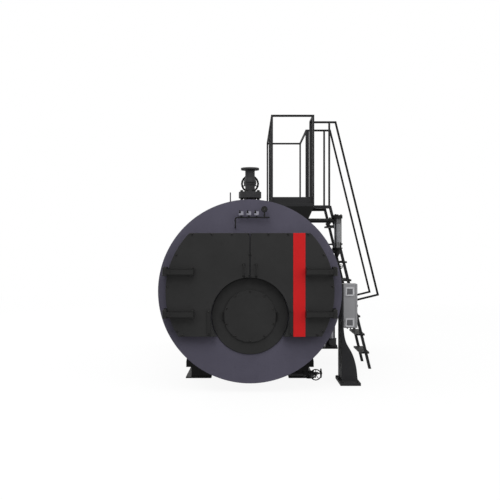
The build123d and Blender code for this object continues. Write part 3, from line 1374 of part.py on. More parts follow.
NODES = {
    "shell_barrel": shell_barrel(),
    "front_plate_top": slab(front_band(OPENING_TOP, SHELL_TOP), 0, END_PLATE),
    "front_plate_base": slab(front_band(SHELL_CLEARANCE, OPENING_BOTTOM), 0, END_PLATE),
    "front_plate_sides": [FRONT_SIDE, mirrored(FRONT_SIDE)],
    "burner_mouth_plate": burner_mouth_plate(),
    "seam_post": seam_post(),
    "tube_sheet": tube_sheet(),
    "rear_plate": rear_plate(),
    "rear_access_cover": rear_access_cover(),
    "flue_outlet": flue_outlet(),
    "burner_ring": burner_ring(),
    "burner_cover": burner_cover(),
    "right_door": RIGHT_DOOR,
    "right_door_lining": RIGHT_LINING,
    "right_door_gasket": RIGHT_GASKET,
    "right_door_fittings": FITTINGS,
    "red_strip": red_strip(),
    "left_door": mirrored(RIGHT_DOOR),
    "left_door_lining": mirrored(RIGHT_LINING),
    "left_door_gasket": mirrored(RIGHT_GASKET),
    "left_door_fittings": [mirrored(piece) for piece in FITTINGS],
    "hinge_brackets": FORKS + [mirrored(fork) for fork in FORKS],
    "pressure_header": pressure_header(),
    "pressure_switches": [pressure_switch(x) for x in SWITCH_X],
    "pressure_gauge": pressure_gauge(),
    "steam_nozzle": steam_nozzle(),
    "steam_valve_body": steam_valve_body(),
    "steam_valve_bonnet": steam_valve_bonnet(),
    "steam_valve_handwheel": steam_valve_handwheel(),
    "vent_pipe": vent_pipe(),
    "platform_frame": platform_frame(),
    "platform_floor": platform_floor(),
    "toe_boards": toe_boards(),
    "railing_posts": railing_posts(),
    "railing_top_rails": railing_top_rails(),
    "platform_brackets": platform_brackets(),
    "stair_stringers": stair_stringers(),
    "stair_treads": stair_treads(),
    "stair_handrails": stair_handrails(),
    "skid_plates": skid_plates(),
    "saddles": saddles(),
    "blowdown_line": blowdown_line(),
    "blowdown_front_wheel": FRONT_WHEEL_PLACE * blowdown_wheel(FRONT_WHEEL_R, FRONT_STEM),
    "blowdown_side_wheel": SIDE_WHEEL_PLACE * blowdown_wheel(SIDE_WHEEL_R, SIDE_STEM),
    "level_gauge_pipes": level_gauge_pipes(),
    "level_gauge_column": level_gauge_column(),
    "level_gauge_collars": level_gauge_collars(),
    "level_gauge_glass": level_gauge_glass(),
    "pump_shelf": pump_shelf(),
    "feed_pump": feed_pump(),
    "feed_pump_motor": feed_pump_motor(),
    "control_pedestal": control_pedestal(),
    "control_cabinet": control_cabinet(),
    "cabinet_vents": cabinet_vents(),
}


def as_one(piece):
    """One shape for a node, also where it holds several solids."""
    return Compound(children=list(piece)) if isinstance(piece, list) else piece


WHOLE = Compound([as_one(piece) for piece in NODES.values()]).bounding_box()
TO_ORIGIN = Pos(-WHOLE.center().X, -WHOLE.center().Y, -WHOLE.min.Z)

os.makedirs("parts", exist_ok=True)
for name, piece in NODES.items():
    export_step(TO_ORIGIN * as_one(piece), f"parts/{name}.step")
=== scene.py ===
import json
import math

import bmesh
import bpy
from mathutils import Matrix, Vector


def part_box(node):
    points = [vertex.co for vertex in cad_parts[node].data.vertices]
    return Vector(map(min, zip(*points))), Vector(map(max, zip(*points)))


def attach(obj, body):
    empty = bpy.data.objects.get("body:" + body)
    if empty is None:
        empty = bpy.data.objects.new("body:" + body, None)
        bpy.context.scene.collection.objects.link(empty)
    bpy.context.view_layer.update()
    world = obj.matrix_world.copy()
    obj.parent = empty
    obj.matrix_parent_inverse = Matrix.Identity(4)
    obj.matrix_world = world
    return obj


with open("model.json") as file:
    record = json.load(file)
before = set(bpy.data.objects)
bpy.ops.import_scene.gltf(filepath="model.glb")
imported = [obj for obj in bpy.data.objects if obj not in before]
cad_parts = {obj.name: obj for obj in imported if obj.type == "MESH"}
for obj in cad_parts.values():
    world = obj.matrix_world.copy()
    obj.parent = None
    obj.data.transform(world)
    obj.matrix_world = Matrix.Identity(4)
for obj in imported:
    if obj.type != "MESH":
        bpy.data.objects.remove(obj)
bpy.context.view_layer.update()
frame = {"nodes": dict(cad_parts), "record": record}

# Places below are in millimetres from the boiler's own origin: the middle of the front plate,
# down on the floor, with X to the right, Y to the rear and Z up.
MM = 0.001
PLATE_LOW, PLATE_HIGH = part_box("front_plate_base")
ORIGIN = Vector(((PLATE_LOW.x + PLATE_HIGH.x) / 2, PLATE_LOW.y, 0))
X, Y, Z = Vector((1, 0, 0)), Vector((0, 1, 0)), Vector((0, 0, 1))
SIDES = (-1, 1)
HEX = 6

# Shell, burner mouth and rear
AXIS_Z = 1105
SHELL_R = 1000
SHELL_LENGTH = 4400
STRAPS = (640, 1390, 2140, 2890, 3640)
STRAP_R = 1002
BURNER_Z = 838
BURNER_RING_R = 412
COVER_FACE = -30
REAR_COVER_FACE = 4420
FLUE_Z = 1480
FLUE_R = 200

# Doors and what lies behind them
DOOR_R = 906
DOOR_FACE = -113
DOOR_TOP = 1737
DOOR_BOTTOM = 626
DOOR_CUTOUT_R = 420
OPENING_INSET = 45
SEAM_POST_HALF = 52
SEAM_BOLT_X = 12
BAR_X = 441
BAR_THICK = 12
PULL_X = 66
LINING_FACE = -11
HINGE_X = 905
HINGE_Y = -190
HINGE_HEIGHTS = (872, 1324)
ARM_HALF = 11
SMOKE_BOX_DEPTH = 260
TUBE_PITCH = 118
TUBE_EDGE = 46

# Instruments on the front plate
HEADER_Y = -75
HEADER_Z = 1907
SWITCH_X = (-95, -12.5, 70)
SWITCH_FACE = -98
SWITCH_Z = 1949
SWITCH_TOP = 1970
DIAL_AT = Vector((155, -92, 1994))
DIAL_LENGTH = 31
DIAL_TICKS = 31
DIAL_START = -135
DIAL_STEP = 9
DIAL_REST = -118

# Steam valve and vent
STEAM_Y = 2000
NOZZLE_TOP = 2308
NOZZLE_FLANGE = 41
VALVE_FLANGE = 43
GLOBE_Z = 2491
BONNET_SPLIT = STEAM_Y + 106
BONNET_FLANGE = 20
BONNET_CAP = 18
GLAND_TOP = STEAM_Y + 199
THREAD_START = STEAM_Y + 211
STEAM_WHEEL = (0, STEAM_Y + 284, GLOBE_Z)
STEAM_HUB_HALF = 13
VENT_PIPE = (-233, 700)

# Platform and stair
PLATFORM_X = (262, 801)
PLATFORM_Y = (1101, 3394)
PLATFORM_TOP = 2140
POST = 24
LANDING_END = 1049.66
STAIR_Y = (1539, 2190)
STAIR_TOP = 2116.5
STAIR_LEAN = 0.2456
STEP_TOPS = [1881 - 238 * k for k in range(8)]
TREAD_THICK = 22

# Base, blowdown line, level gauge, feed pump and control stand
SKID_TOP = 16
SADDLE_X = 472
SADDLE_FACES = (904, 924, 3540, 3560)
DRAIN_Y = 560
DRAIN_Z = 117
SAMPLE_X = 750
SAMPLE_Y = 440
SAMPLE_Z = 132
GAUGE = (1091, 1150)
GAUGE_TOP = 1990
GAUGE_PIPES = (1923, 1542)
PUMP = (1091, 1784)
PUMP_FOOT_TOP = 280
PORT_Z = 329
FAN_TOP = 1370
STAND_BASE_TOP = 32
FILTER_X = 1160
FILTER_HEIGHTS = (711, 1071)
CABINET_SIDE = 1249
CABINET_BOTTOM = 648

# Each drain wheel's place, axis, rim radius and first spoke, in degrees
DRAIN_WHEELS = {
    "front_drain_wheel": (Vector((SAMPLE_X, 377, SAMPLE_Z)), -Y, 59.5, 180),
    "side_drain_wheel": (Vector((828, DRAIN_Y, DRAIN_Z)), X, 49.5, 90),
}


def basis(axis):
    """Two directions square to an axis, and the axis itself, as a right-handed set."""
    along = Vector(axis).normalized()
    side = (X if abs(along.x) < 0.9 else Y).cross(along).normalized()
    return side, along.cross(side), along


def circle(centre, axis, radius, count, start=0.0):
    """Points evenly spread round an axis, with their outward directions."""
    side, up, _ = basis(axis)
    centre = Vector(centre)
    found = []
    for k in range(count):
        turn = math.radians(start + 360.0 * k / count)
        out = side * math.cos(turn) + up * math.sin(turn)
        found.append((centre + out * radius, out))
    return found


def spots(*where):
    """The points of a circle without their directions."""
    return [place for place, _ in circle(*where)]


def spread(outline, steps):
    """Points evenly spread along each side of a closed outline."""
    path = []
    for start, end in zip(outline, outline[1:] + outline[:1]):
        for k in range(steps):
            path.append([a + (b - a) * k / steps for a, b in zip(start, end)])
    return path


def corners(across, along):
    """The four corners of a rectangle, as steps from its centre."""
    return [(i * across, j * along) for i in SIDES for j in SIDES]


def rise(radius, offset):
    """How far a circle reaches at a distance from its middle line."""
    return math.sqrt(radius**2 - offset**2)


def rod(radius, height):
    """The profile of a plain cylinder."""
    return [(0, 0), (radius, 0), (radius, height), (0, height)]


def plug(radius, shoulder, crown, height):
    """The profile of a cylinder whose edge is cut from the shoulder in to the crown."""
    return [(0, 0), (radius, 0), (radius, shoulder), (crown, height), (0, height)]


def band(inner, outer, low, high):
    """The profile of a hollow cylinder."""
    return [(inner, low), (outer, low), (outer, high), (inner, high), (inner, low)]


class Solids:
    """Closed solids gathered in the boiler's millimetres, which become one piece."""

    def __init__(self):
        self.points, self.faces = [], []

    def add(self, points, faces):
        first = len(self.points)
        self.points += [Vector(p) for p in points]
        self.faces += [[first + i for i in face] for face in faces]

    def turned(self, base, axis, profile, sides, spin=0.0):
        """A profile of (radius, height) points, turned about an axis. It is hollow in the middle
        where the profile comes back to its first point."""
        side, up, along = basis(axis)
        base = Vector(base)
        points, rings = [], []
        for radius, height in profile:
            ring = []
            for k in range(sides if radius else 1):
                turn = math.tau * (k + spin) / sides
                ring.append(len(points))
                out = side * math.cos(turn) + up * math.sin(turn)
                points.append(base + out * radius + along * height)
            rings.append(ring)
        faces = []
        for low, high in zip(rings, rings[1:]):
            count = max(len(low), len(high))
            for k in range(count):
                after = (k + 1) % count
                loop = ((low, k), (low, after), (high, after), (high, k))
                faces.append(list(dict.fromkeys(ring[i % len(ring)] for ring, i in loop)))
        if profile[0] == profile[-1]:
            last = rings[-1][0]
            for face in faces:
                face[:] = [i - last if i >= last else i for i in face]
            points = points[:last]
        self.add(points, faces)

    def ring(self, base, axis, radius, thick, sides, tube):
        """A round ring of round section."""
        profile = []
        for k in range(tube + 1):
            turn = math.tau * (k % tube) / tube
            profile.append((radius + thick * math.cos(turn), thick * math.sin(turn)))
        self.turned(base, axis, profile, sides)

    def block(self, x, y, z):
        """A box between two values on each axis."""
        points = [(i, j, k) for i in x for j in y for k in z]
        faces = [(0, 1, 3, 2), (4, 6, 7, 5), (0, 4, 5, 1), (2, 3, 7, 6), (0, 2, 6, 4), (1, 5, 7, 3)]
        self.add(points, faces)

    def prism(self, outline, reach):
        """A flat outline of points, made thick by a vector."""
        count = len(outline)
        points = [Vector(p) for p in outline]
        points += [p + Vector(reach) for p in points]
        faces = [list(range(count))[::-1], list(range(count, 2 * count))]
        for k in range(count):
            after = (k + 1) % count
            faces.append([k, after, count + after, count + k])
        self.add(points, faces)

    def rope(self, path, radius, sides, closed=False, wave=0.0):
        """A round bar along points, thicker and thinner by turns if wave is set."""
        path = [Vector(p) for p in path]
        count = len(path)
        points, faces = [], []
        out = None
        for k, here in enumerate(path):
            before = path[k - 1] if k or closed else here
            after = path[(k + 1) % count] if k < count - 1 or closed else here
            along = (after - before).normalized()
            if out is None:
                out = basis(along)[0]
            out = (out - along * out.dot(along)).normalized()
            up = along.cross(out)
            thick = radius * (1 + (wave if k % 2 else -wave))
            for j in range(sides):
                turn = math.tau * j / sides
                points.append(here + (out * math.cos(turn) + up * math.sin(turn)) * thick)
        for k in range(count if closed else count - 1):
            low, high = k * sides, (k + 1) % count * sides
            for j in range(sides):
                after = (j + 1) % sides
                faces.append([low + j, low + after, high + after, high + j])
        if not closed:
            faces.append(list(range(sides))[::-1])
            faces.append([(count - 1) * sides + j for j in range(sides)])
        self.add(points, faces)

    def weld(self, path, bead, wave=0.1, closed=True, sides=6):
        """A rippled weld bead along points."""
        self.rope(path, bead, sides, closed, wave)

    def bolt(self, base, axis, size, spin=0.0, stud=True, washer=True):
        """A washer, a six-sided nut with chamfered corners, and the end of its stud, all sized
        by the stud's diameter."""
        foot = 0.0
        if washer:
            foot = 0.18 * size
            self.turned(base, axis, rod(1.05 * size, foot), 16)
        head = foot + 0.78 * size
        corner = 0.87 * size
        nut = [(0, foot), (corner, foot), (corner, head - 0.09 * size)]
        nut += [(0.77 * size, head), (0, head)]
        self.turned(base, axis, nut, HEX, spin)
        if stud:
            tip = head + 0.32 * size
            end = [(0, head), (0.5 * size, head), (0.5 * size, tip - 0.1 * size)]
            end += [(0.4 * size, tip), (0, tip)]
            self.turned(base, axis, end, 12)

    def bolts(self, places, axis, size, **how):
        """Bolts of one size, with nuts that don't all stand the same way round."""
        for turn, place in enumerate(places):
            self.bolt(place, axis, size, spin=(turn * 0.37) % 1, **how)

    def rivet(self, base, axis, radius, height):
        """A rivet's round head."""
        dome = [(0, 0), (radius, 0), (0.85 * radius, 0.55 * height)]
        dome += [(0.45 * radius, 0.9 * height), (0, height)]
        self.turned(base, axis, dome, 10)

    def gland(self, place, radius, height, washer):
        """A cable gland that hangs down: a six-sided body with its clamping nut, and a washer."""
        waist, mouth = radius - 3, radius - 6
        body = [(0, 0), (radius, 0), (radius, height - 16), (waist, height - 13)]
        body += [(waist, height - 4), (mouth, height), (0, height)]
        self.turned(place, -Z, body, HEX)
        self.turned(place, -Z, rod(washer, 3), 24)

    def mirrored(self):
        """The same solids on the other side of the middle plane."""
        other = Solids()
        points = [(-p.x, p.y, p.z) for p in self.points]
        other.add(points, [face[::-1] for face in self.faces])
        return other

    def done(self, name, body, slot, material):
        """Makes the piece, in metres, riding on a CAD body."""
        mesh = bpy.data.meshes.new(name)
        mesh.from_pydata([ORIGIN + p * MM for p in self.points], [], self.faces)
        shape = bmesh.new()
        shape.from_mesh(mesh)
        bmesh.ops.recalc_face_normals(shape, faces=shape.faces)
        shape.to_mesh(mesh)
        shape.free()
        mesh.shade_smooth()
        mesh.set_sharp_from_angle(angle=math.radians(40))
        piece = bpy.data.objects.new(name, mesh)
        bpy.context.scene.collection.objects.link(piece)
        mesh.materials.append(material)
        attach(piece, body)


# The Mix node's sockets for colours, whose names aren't unique
MIX_SHARE, MIX_A, MIX_B = 0, 6, 7
MIX_RESULT = 2


class Nodes:
    """A short way to lay out the nodes of a material, or of the world."""

    def __init__(self, name, kind="materials"):
        self.owner = getattr(bpy.data, kind).new(name)
        self.owner.use_nodes = True
        self.tree = self.owner.node_tree
        self.tree.nodes.clear()
        self.place = self.add("TexCoord").outputs["Object"]

    def add(self, kind, inputs=None, **settings):
        node = self.tree.nodes.new("ShaderNode" + kind)
        for key, value in settings.items():
            setattr(node, key, value)
        for key, value in (inputs or {}).items():
            self.put(node.inputs[key], value)
        return node

    def put(self, socket, value):
        """Links another node's output to a socket, or sets the socket's own value."""
        if isinstance(value, bpy.types.NodeSocket):
            self.tree.links.new(value, socket)
        else:
            socket.default_value = value

    def noise(self, scale, detail=4.0, rough=0.55, stretch=(1, 1, 1)):
        where = self.add("Mapping", {"Vector": self.place, "Scale": stretch}).outputs[0]
        inputs = {"Vector": where, "Scale": scale, "Detail": detail, "Roughness": rough}
        return self.add("TexNoise", inputs).outputs["Fac"]

    def span(self, value, low, high, to_low=0.0, to_high=1.0):
        """A value's range from low to high, spread smoothly over another range."""
        inputs = {"Value": value, "From Min": low, "From Max": high}
        inputs |= {"To Min": to_low, "To Max": to_high}
        return self.add("MapRange", inputs, interpolation_type="SMOOTHSTEP").outputs["Result"]

    def sum(self, kind, a, b):
        """A Math node. A product is kept between 0 and 1."""
        node = self.add("Math", {0: a, 1: b}, operation=kind, use_clamp=kind == "MULTIPLY")
        return node.outputs[0]

    def mix(self, share, a, b):
        node = self.add("Mix", data_type="RGBA")
        for socket, value in ((MIX_SHARE, share), (MIX_A, a), (MIX_B, b)):
            self.put(node.inputs[socket], value)
        return node.outputs[MIX_RESULT]

    def bump(self, height, distance, normal=None):
        inputs = {"Height": height, "Distance": distance}
        if normal is not None:
            inputs["Normal"] = normal
        return self.add("Bump", inputs).outputs["Normal"]

    def rounded(self, radius):
        """The normal that corners rounded to a radius would have."""
        return self.add("Bevel", {"Radius": radius}, samples=4).outputs["Normal"]

    def seen(self):
        """1 where the camera, a reflection or clear glass looks, 0 where light is gathered."""
        rays = self.add("LightPath").outputs
        direct = self.sum("MAXIMUM", rays["Is Camera Ray"], rays["Is Glossy Ray"])
        return self.sum("MAXIMUM", direct, rays["Is Transmission Ray"])

    def blend(self, share, a, b):
        return self.add("MixShader", {0: share, 1: a.outputs[0], 2: b.outputs[0]})

    def finish(self, **sockets):
        """Ends a material with the usual shader, and gives the material."""
        names = {"color": "Base Color", "rough": "Roughness", "normal": "Normal"}
        names |= {"metal": "Metallic", "gleam": "Specular IOR Level"}
        inputs = {names.get(key, key): value for key, value in sockets.items()}
        shader = self.add("BsdfPrincipled", inputs)
        self.add("OutputMaterial", {"Surface": shader.outputs[0]})
        return self.owner


def srgb(*parts):
    """A colour given as it looks on screen, turned into the light values that nodes take."""
    light = [c / 12.92 if c <= 0.04045 else ((c + 0.055) / 1.055) ** 2.4 for c in parts]
    return (*light, 1.0)


def grey(level):
    return srgb(level, level, level)


def shade(color, factor):
    """A colour made darker or lighter."""
    return (*[min(c * factor, 1.0) for c in color[:3]], 1.0)


DUST = srgb(0.47, 0.455, 0.43)
BARE_STEEL = srgb(0.42, 0.41, 0.4)


def surface(
    name, color, rough, metal=0.0, tone=0.16, grain=900, relief=0.0001, chip=BARE_STEEL,
    wear=0.7, dust=0.1, cast=0.0, streak=0.0, gleam=0.12,
):
    """Paint or bare metal: uneven tone, grime, dust on upper faces, rubbed edges, fine texture.

    tone is how far light and dark clouds differ, grain the texture's scale and relief its height
    in metres. chip is the colour under rubbed edges, and wear, dust and streak are the most that
    it, dust and runs cover. cast is the height of a casting's lumps, gleam the reflections' level.
    """
    n = Nodes(name)
    clouds = n.span(n.noise(3.1, 5.0), 0.3, 0.7)
    mottled = n.mix(clouds, shade(color, 1 - tone), shade(color, 1 + tone))
    grime = n.span(n.noise(34, 6.0, 0.65), 0.56, 0.78, 0, 0.35)
    base = n.mix(grime, mottled, shade(color, 0.6))
    if streak:
        runs = n.noise(13, 5.0, 0.6, stretch=(1, 1, 0.09))
        base = n.mix(n.span(runs, 0.54, 0.72, 0, streak), base, shade(color, 1.45))
    soft = n.rounded(0.0035)
    facing = n.add("NewGeometry").outputs["Normal"]
    if chip:
        alike = n.add("VectorMath", {0: soft, 1: facing}, operation="DOT_PRODUCT")
        edge = n.span(alike.outputs["Value"], 0.985, 0.86)
        worn = n.span(n.noise(60, 5.0, 0.7), 0.47, 0.62, 0, wear)
        base = n.mix(n.sum("MULTIPLY", edge, worn), base, chip)
    if dust:
        upward = n.add("SeparateXYZ", {0: facing}).outputs["Z"]
        patches = n.span(n.noise(9, 6.0), 0.3, 0.7, 0.25 * dust, dust)
        base = n.mix(n.sum("MULTIPLY", n.span(upward, 0.55, 0.98), patches), base, DUST)
    gloss = n.span(n.noise(21, 5.0, 0.6), 0.25, 0.75, rough - 0.09, rough + 0.09)
    height = n.noise(grain, 3.0)
    if cast:
        height = n.sum("ADD", n.sum("MULTIPLY", n.noise(210, 4.0, 0.7), cast), height)
    normal = n.bump(height, relief, soft)
    return n.finish(color=base, rough=gloss, normal=normal, metal=metal, gleam=gleam)


def refractory(name):
    """Cast lining with hair cracks, dark heat stains and coarse grain."""
    n = Nodes(name)
    grain = n.noise(260, 6.0, 0.75)
    voronoi = {"Vector": n.place, "Scale": 3.6}
    cells = n.add("TexVoronoi", voronoi, feature="DISTANCE_TO_EDGE").outputs["Distance"]
    wander = n.span(n.noise(18, 6.0), 0.2, 0.8, -0.03, 0.03)
    crack = n.span(n.sum("ADD", cells, wander), 0.0, 0.012)
    light, tan = srgb(0.79, 0.74, 0.65), srgb(0.6, 0.55, 0.48)
    warm = n.mix(n.span(n.noise(4.0, 6.0), 0.35, 0.7), light, tan)
    soot = n.span(n.noise(2.2, 5.0, 0.6), 0.5, 0.72, 0, 0.65)
    sooty = n.mix(soot, warm, srgb(0.3, 0.27, 0.25))
    speckled = n.mix(n.span(grain, 0.55, 0.75, 0, 0.5), sooty, srgb(0.45, 0.41, 0.37))
    base = n.mix(crack, srgb(0.2, 0.18, 0.16), speckled)
    height = n.sum("ADD", n.sum("MULTIPLY", crack, 0.8), grain)
    return n.finish(color=base, rough=0.95, normal=n.bump(height, 0.0015))


def braid(name):
    """Woven fibre rope: two crossing sets of diagonal strands."""
    n = Nodes(name)
    waves = []
    for slant in (math.radians(45), math.radians(-45)):
        where = n.add("Mapping", {"Vector": n.place, "Rotation": (slant, slant, 0)}).outputs[0]
        inputs = {"Vector": where, "Scale": 62.0, "Distortion": 0.6, "Detail": 2.0}
        waves.append(n.add("TexWave", inputs).outputs["Fac"])
    weave = n.sum("MAXIMUM", *waves)
    base = n.mix(n.span(weave, 0.2, 0.9), srgb(0.5, 0.47, 0.41), srgb(0.84, 0.81, 0.74))
    base = n.mix(n.span(n.noise(7, 5.0), 0.5, 0.75, 0, 0.6), base, srgb(0.33, 0.3, 0.27))
    height = n.sum("ADD", weave, n.sum("MULTIPLY", n.noise(900, 4.0, 0.7), 0.3))
    return n.finish(color=base, rough=0.97, normal=n.bump(height, 0.0012))


def plastic(name, color, rough, gleam=0.3):
    """Moulded plastic with a fine spark-eroded grain."""
    n = Nodes(name)
    base = n.mix(n.span(n.noise(5, 4.0), 0.3, 0.7), shade(color, 0.93), shade(color, 1.06))
    base = n.mix(n.span(n.noise(70, 5.0), 0.6, 0.8, 0, 0.3), base, shade(color, 0.7))
    gloss = n.span(n.noise(40, 4.0), 0.3, 0.7, rough - 0.06, rough + 0.06)
    normal = n.bump(n.noise(1600, 2.0), 0.00006, n.rounded(0.002))
    return n.finish(color=base, rough=gloss, normal=normal, gleam=gleam)


def brushed(name, color, rough):
    """Turned or drawn steel with fine lines along its height."""
    n = Nodes(name)
    lines = n.noise(700, 4.0, 0.6, stretch=(1, 1, 0.02))
    base = n.mix(n.span(lines, 0.3, 0.7), shade(color, 0.8), shade(color, 1.1))
    base = n.mix(n.span(n.noise(16, 5.0), 0.52, 0.75, 0, 0.35), base, shade(color, 0.55))
    gloss = n.span(lines, 0.3, 0.7, rough - 0.06, rough + 0.1)
    return n.finish(color=base, rough=gloss, normal=n.bump(lines, 0.00005), metal=0.9)


def glass(name):
    """Thick gauge glass with water film and light scale on its inside."""
    n = Nodes(name)
    film = n.span(n.noise(30, 6.0, 0.6, stretch=(1, 1, 0.35)), 0.42, 0.75)
    base = n.mix(film, srgb(0.65, 0.655, 0.67), srgb(0.57, 0.575, 0.59))
    gloss = n.span(film, 0, 1, 0.1, 0.3)
    normal = n.bump(film, 0.00008)
    clear = {"Transmission Weight": 0.5, "IOR": 1.5}
    return n.finish(color=base, rough=gloss, normal=normal, gleam=0.25, **clear)


SHELL_BLUE = srgb(0.312, 0.303, 0.355)
RED = srgb(0.765, 0.115, 0.125)
RED_CHIP = srgb(0.6, 0.4, 0.38)
RUSTY = srgb(0.33, 0.29, 0.27)
RUSTY_CHIP = srgb(0.5, 0.42, 0.36)
IRON = srgb(0.225, 0.225, 0.23)
PLATFORM = srgb(0.155, 0.155, 0.16)
TREAD = srgb(0.2, 0.2, 0.203)
ENCLOSURE = srgb(0.59, 0.59, 0.598)
STAND = srgb(0.205, 0.205, 0.211)
COLLAR = srgb(0.42, 0.42, 0.425)

MATERIALS = {
    "shell_paint": surface(
        "shell_paint", SHELL_BLUE, 0.5, tone=0.06, relief=0.00006, dust=0.12, streak=0.12
    ),
    "door_paint": surface("door_paint", grey(0.168), 0.56, tone=0.08, relief=0.00008, wear=0.35),
    "black_paint": surface("black_paint", grey(0.095), 0.5, tone=0.12, wear=0.3),
    "red_panel": surface(
        "red_panel", RED, 0.42, tone=0.04, relief=0.00003, chip=RED_CHIP, wear=0.5
    ),
    "refractory": refractory("refractory"),
    "gasket_rope": braid("gasket_rope"),
    "tube_steel": surface(
        "tube_steel", RUSTY, 0.7, 0.35, tone=0.3, relief=0.0005, chip=RUSTY_CHIP, dust=0.0, cast=1.2
    ),
    "valve_iron": surface("valve_iron", IRON, 0.55, 0.1, relief=0.0004, wear=0.5, cast=1.4),
    "platform_paint": surface(
        "platform_paint", PLATFORM, 0.5, tone=0.06, relief=0.00004, chip=grey(0.3), wear=0.1
    ),
    "tread_steel": surface(
        "tread_steel", TREAD, 0.52, 0.15, tone=0.14, chip=grey(0.38), wear=0.2, dust=0.18,
        gleam=0.06,
    ),
    "enclosure_grey": surface(
        "enclosure_grey", ENCLOSURE, 0.5, tone=0.04, grain=700, chip=grey(0.62), wear=0.4, dust=0.2
    ),
    "vent_plastic": plastic("vent_plastic", srgb(0.8, 0.8, 0.81), 0.5),
    "gauge_glass": glass("gauge_glass"),
    "pump_steel": brushed("pump_steel", srgb(0.53, 0.53, 0.55), 0.36),
    "switch_grey": plastic("switch_grey", srgb(0.545, 0.54, 0.585), 0.45),
}
FITTINGS = surface("fittings_paint", grey(0.145), 0.5, tone=0.08, wear=0.25, dust=0.05)
RAILS = surface(
    "rail_paint", grey(0.115), 0.55, chip=None, tone=0.04, relief=0.00004, dust=0.03, gleam=0.06
)
OWN_PAINT = {
    "control_pedestal": surface("stand_paint", STAND, 0.5, tone=0.1, wear=0.3, gleam=0.02),
    "right_door_fittings": FITTINGS,
    "left_door_fittings": FITTINGS,
    "railing_top_rails": RAILS,
    "stair_handrails": RAILS,
    "level_gauge_collars": surface(
        "collar_steel", COLLAR, 0.5, 0.2, chip=None, tone=0.1, dust=0.05
    ),
    # The brackets' near-black is painted shade: a darker copy of the black paint for the shadow
    # under the platform.
    "platform_brackets": surface("bracket_painted_shade", grey(0.06), 0.5, tone=0.1, wear=0.2),
}
for part in frame["record"]["subparts"]:
    solid = frame["nodes"][part["node"]]
    solid.data.materials.clear()
    solid.data.materials.append(OWN_PAINT.get(part["node"], MATERIALS[part["material_slot"]]))

ZINC = surface("zinc_plated", srgb(0.5, 0.5, 0.49), 0.36, 0.75, chip=None, tone=0.12)
DARK_BOLT = surface("dark_bolts", grey(0.12), 0.42, 0.4, tone=0.15)
# Near-black for weld beads, handwheels, clamps and handles. It is also painted shade: the strips
# along the hinge straps and the ring on the steam valve stand for shadow lines, and it is this dark
# so that the welds round the lugs and the burner ring read as shade.
WELD_AND_PAINTED_SHADE = surface("weld_and_painted_shade", grey(0.085), 0.5, chip=None, tone=0.15, dust=0.05)
SHELL_WELD = surface("shell_weld", shade(SHELL_BLUE, 0.85), 0.5, chip=None, tone=0.08)
DIAL = plastic("dial_face", grey(0.155), 0.5, 0.1)
TICKS = plastic("dial_ticks", srgb(0.33, 0.33, 0.32), 0.5, 0.1)
FILTER = plastic("filter_mat", srgb(0.46, 0.46, 0.47), 0.85, 0.1)
RUBBER = plastic("black_rubber", grey(0.08), 0.7, 0.1)


def door_bolts(solids):
    """Clamping bolts round the right door and along the seam, and those of its flat bar."""
    edge = DOOR_R - 20
    places = [(x, DOOR_TOP - 13) for x in (SEAM_BOLT_X, 193, 409, 621)]
    places += [(SEAM_BOLT_X, 1506), (SEAM_BOLT_X, 1279), (722, DOOR_BOTTOM + 19)]
    places += [(rise(edge, z - AXIS_Z), z) for z in (1506, 1163, 683)]
    for x, z in places:
        solids.bolt((x, DOOR_FACE, z), -Y, 7.5 if x == SEAM_BOLT_X else 11, spin=x % 1)
    for z in (662, 895):
        solids.bolt((BAR_X, DOOR_FACE - BAR_THICK, z), -Y, 9, spin=0.3)


def door_details(solids):
    """Rosettes of the pull handle, welds and bolts of the hinge straps, near-black strips along the
    straps' edges as painted shadow lines, grease nipples.
    """
    for z in (1275, 1398):
        solids.turned((PULL_X, DOOR_FACE, z), -Y, plug(15, 4, 11, 6.5), 24)
    front = HINGE_Y - ARM_HALF
    lug_end, lug, half, strap_end = 600, 625, 40, 870
    foot = [(lug_end, -half), (lug, -half), (lug, half), (lug_end, half)]
    nipple = [(0, 0), (4, 0), (4, 4), (2.2, 6), (3.2, 9), (0, 10)]
    for z in HINGE_HEIGHTS:
        solids.weld(spread([(x, DOOR_FACE - 1.5, z + dz) for x, dz in foot], 10), 4, 0.08)
        solids.turned((HINGE_X - 60, front, z), -Y, nipple, 12)
        # Painted shadow lines: near-black strips along the lower and upper edges of each strap.
        for low, high in ((-38, -27), (27, 32)):
            solids.block((lug, strap_end), (front - 2, HINGE_Y + ARM_HALF), (z + low, z + high))
        for dz in (-31, 31):
            place = ((lug_end + lug) / 2, front, z + dz)
            solids.bolt(place, -Y, 7, stud=False, washer=False)


def lining_anchors(solids):
    """Round caps of the anchors that hold the right door's refractory filling."""
    places = [(150, 1620), (400, 1620), (620, 1590), (150, 1420), (420, 1420), (700, 1420)]
    places += [(600, 1180), (780, 1180), (620, 900), (780, 940), (580, 740)]
    cap = [(0, 0), (17, 0), (16, 2), (12, 3.2), (0, 3.2)]
    for x, z in places:
        solids.turned((x, LINING_FACE, z), Y, cap, 20)


def cover_bolts(solids):
    """Ten bolts round the burner cover."""
    solids.bolts(spots((0, COVER_FACE, BURNER_Z), -Y, 266, 10), -Y, 10)


def cover_clamps(solids):
    """The dark clamp bars over the ears of the burner cover."""
    front = COVER_FACE - 11
    for sign in SIDES:
        x = sign * 289
        solids.turned((x, COVER_FACE - 5, BURNER_Z - 50), Z, rod(5.5, 100), 16)
        for z in (BURNER_Z - 38, BURNER_Z + 38):
            solids.block((x - 8, x + 8), (front, COVER_FACE), (z - 7, z + 7))
            solids.bolt((x, front, z), -Y, 6, stud=False, washer=False)


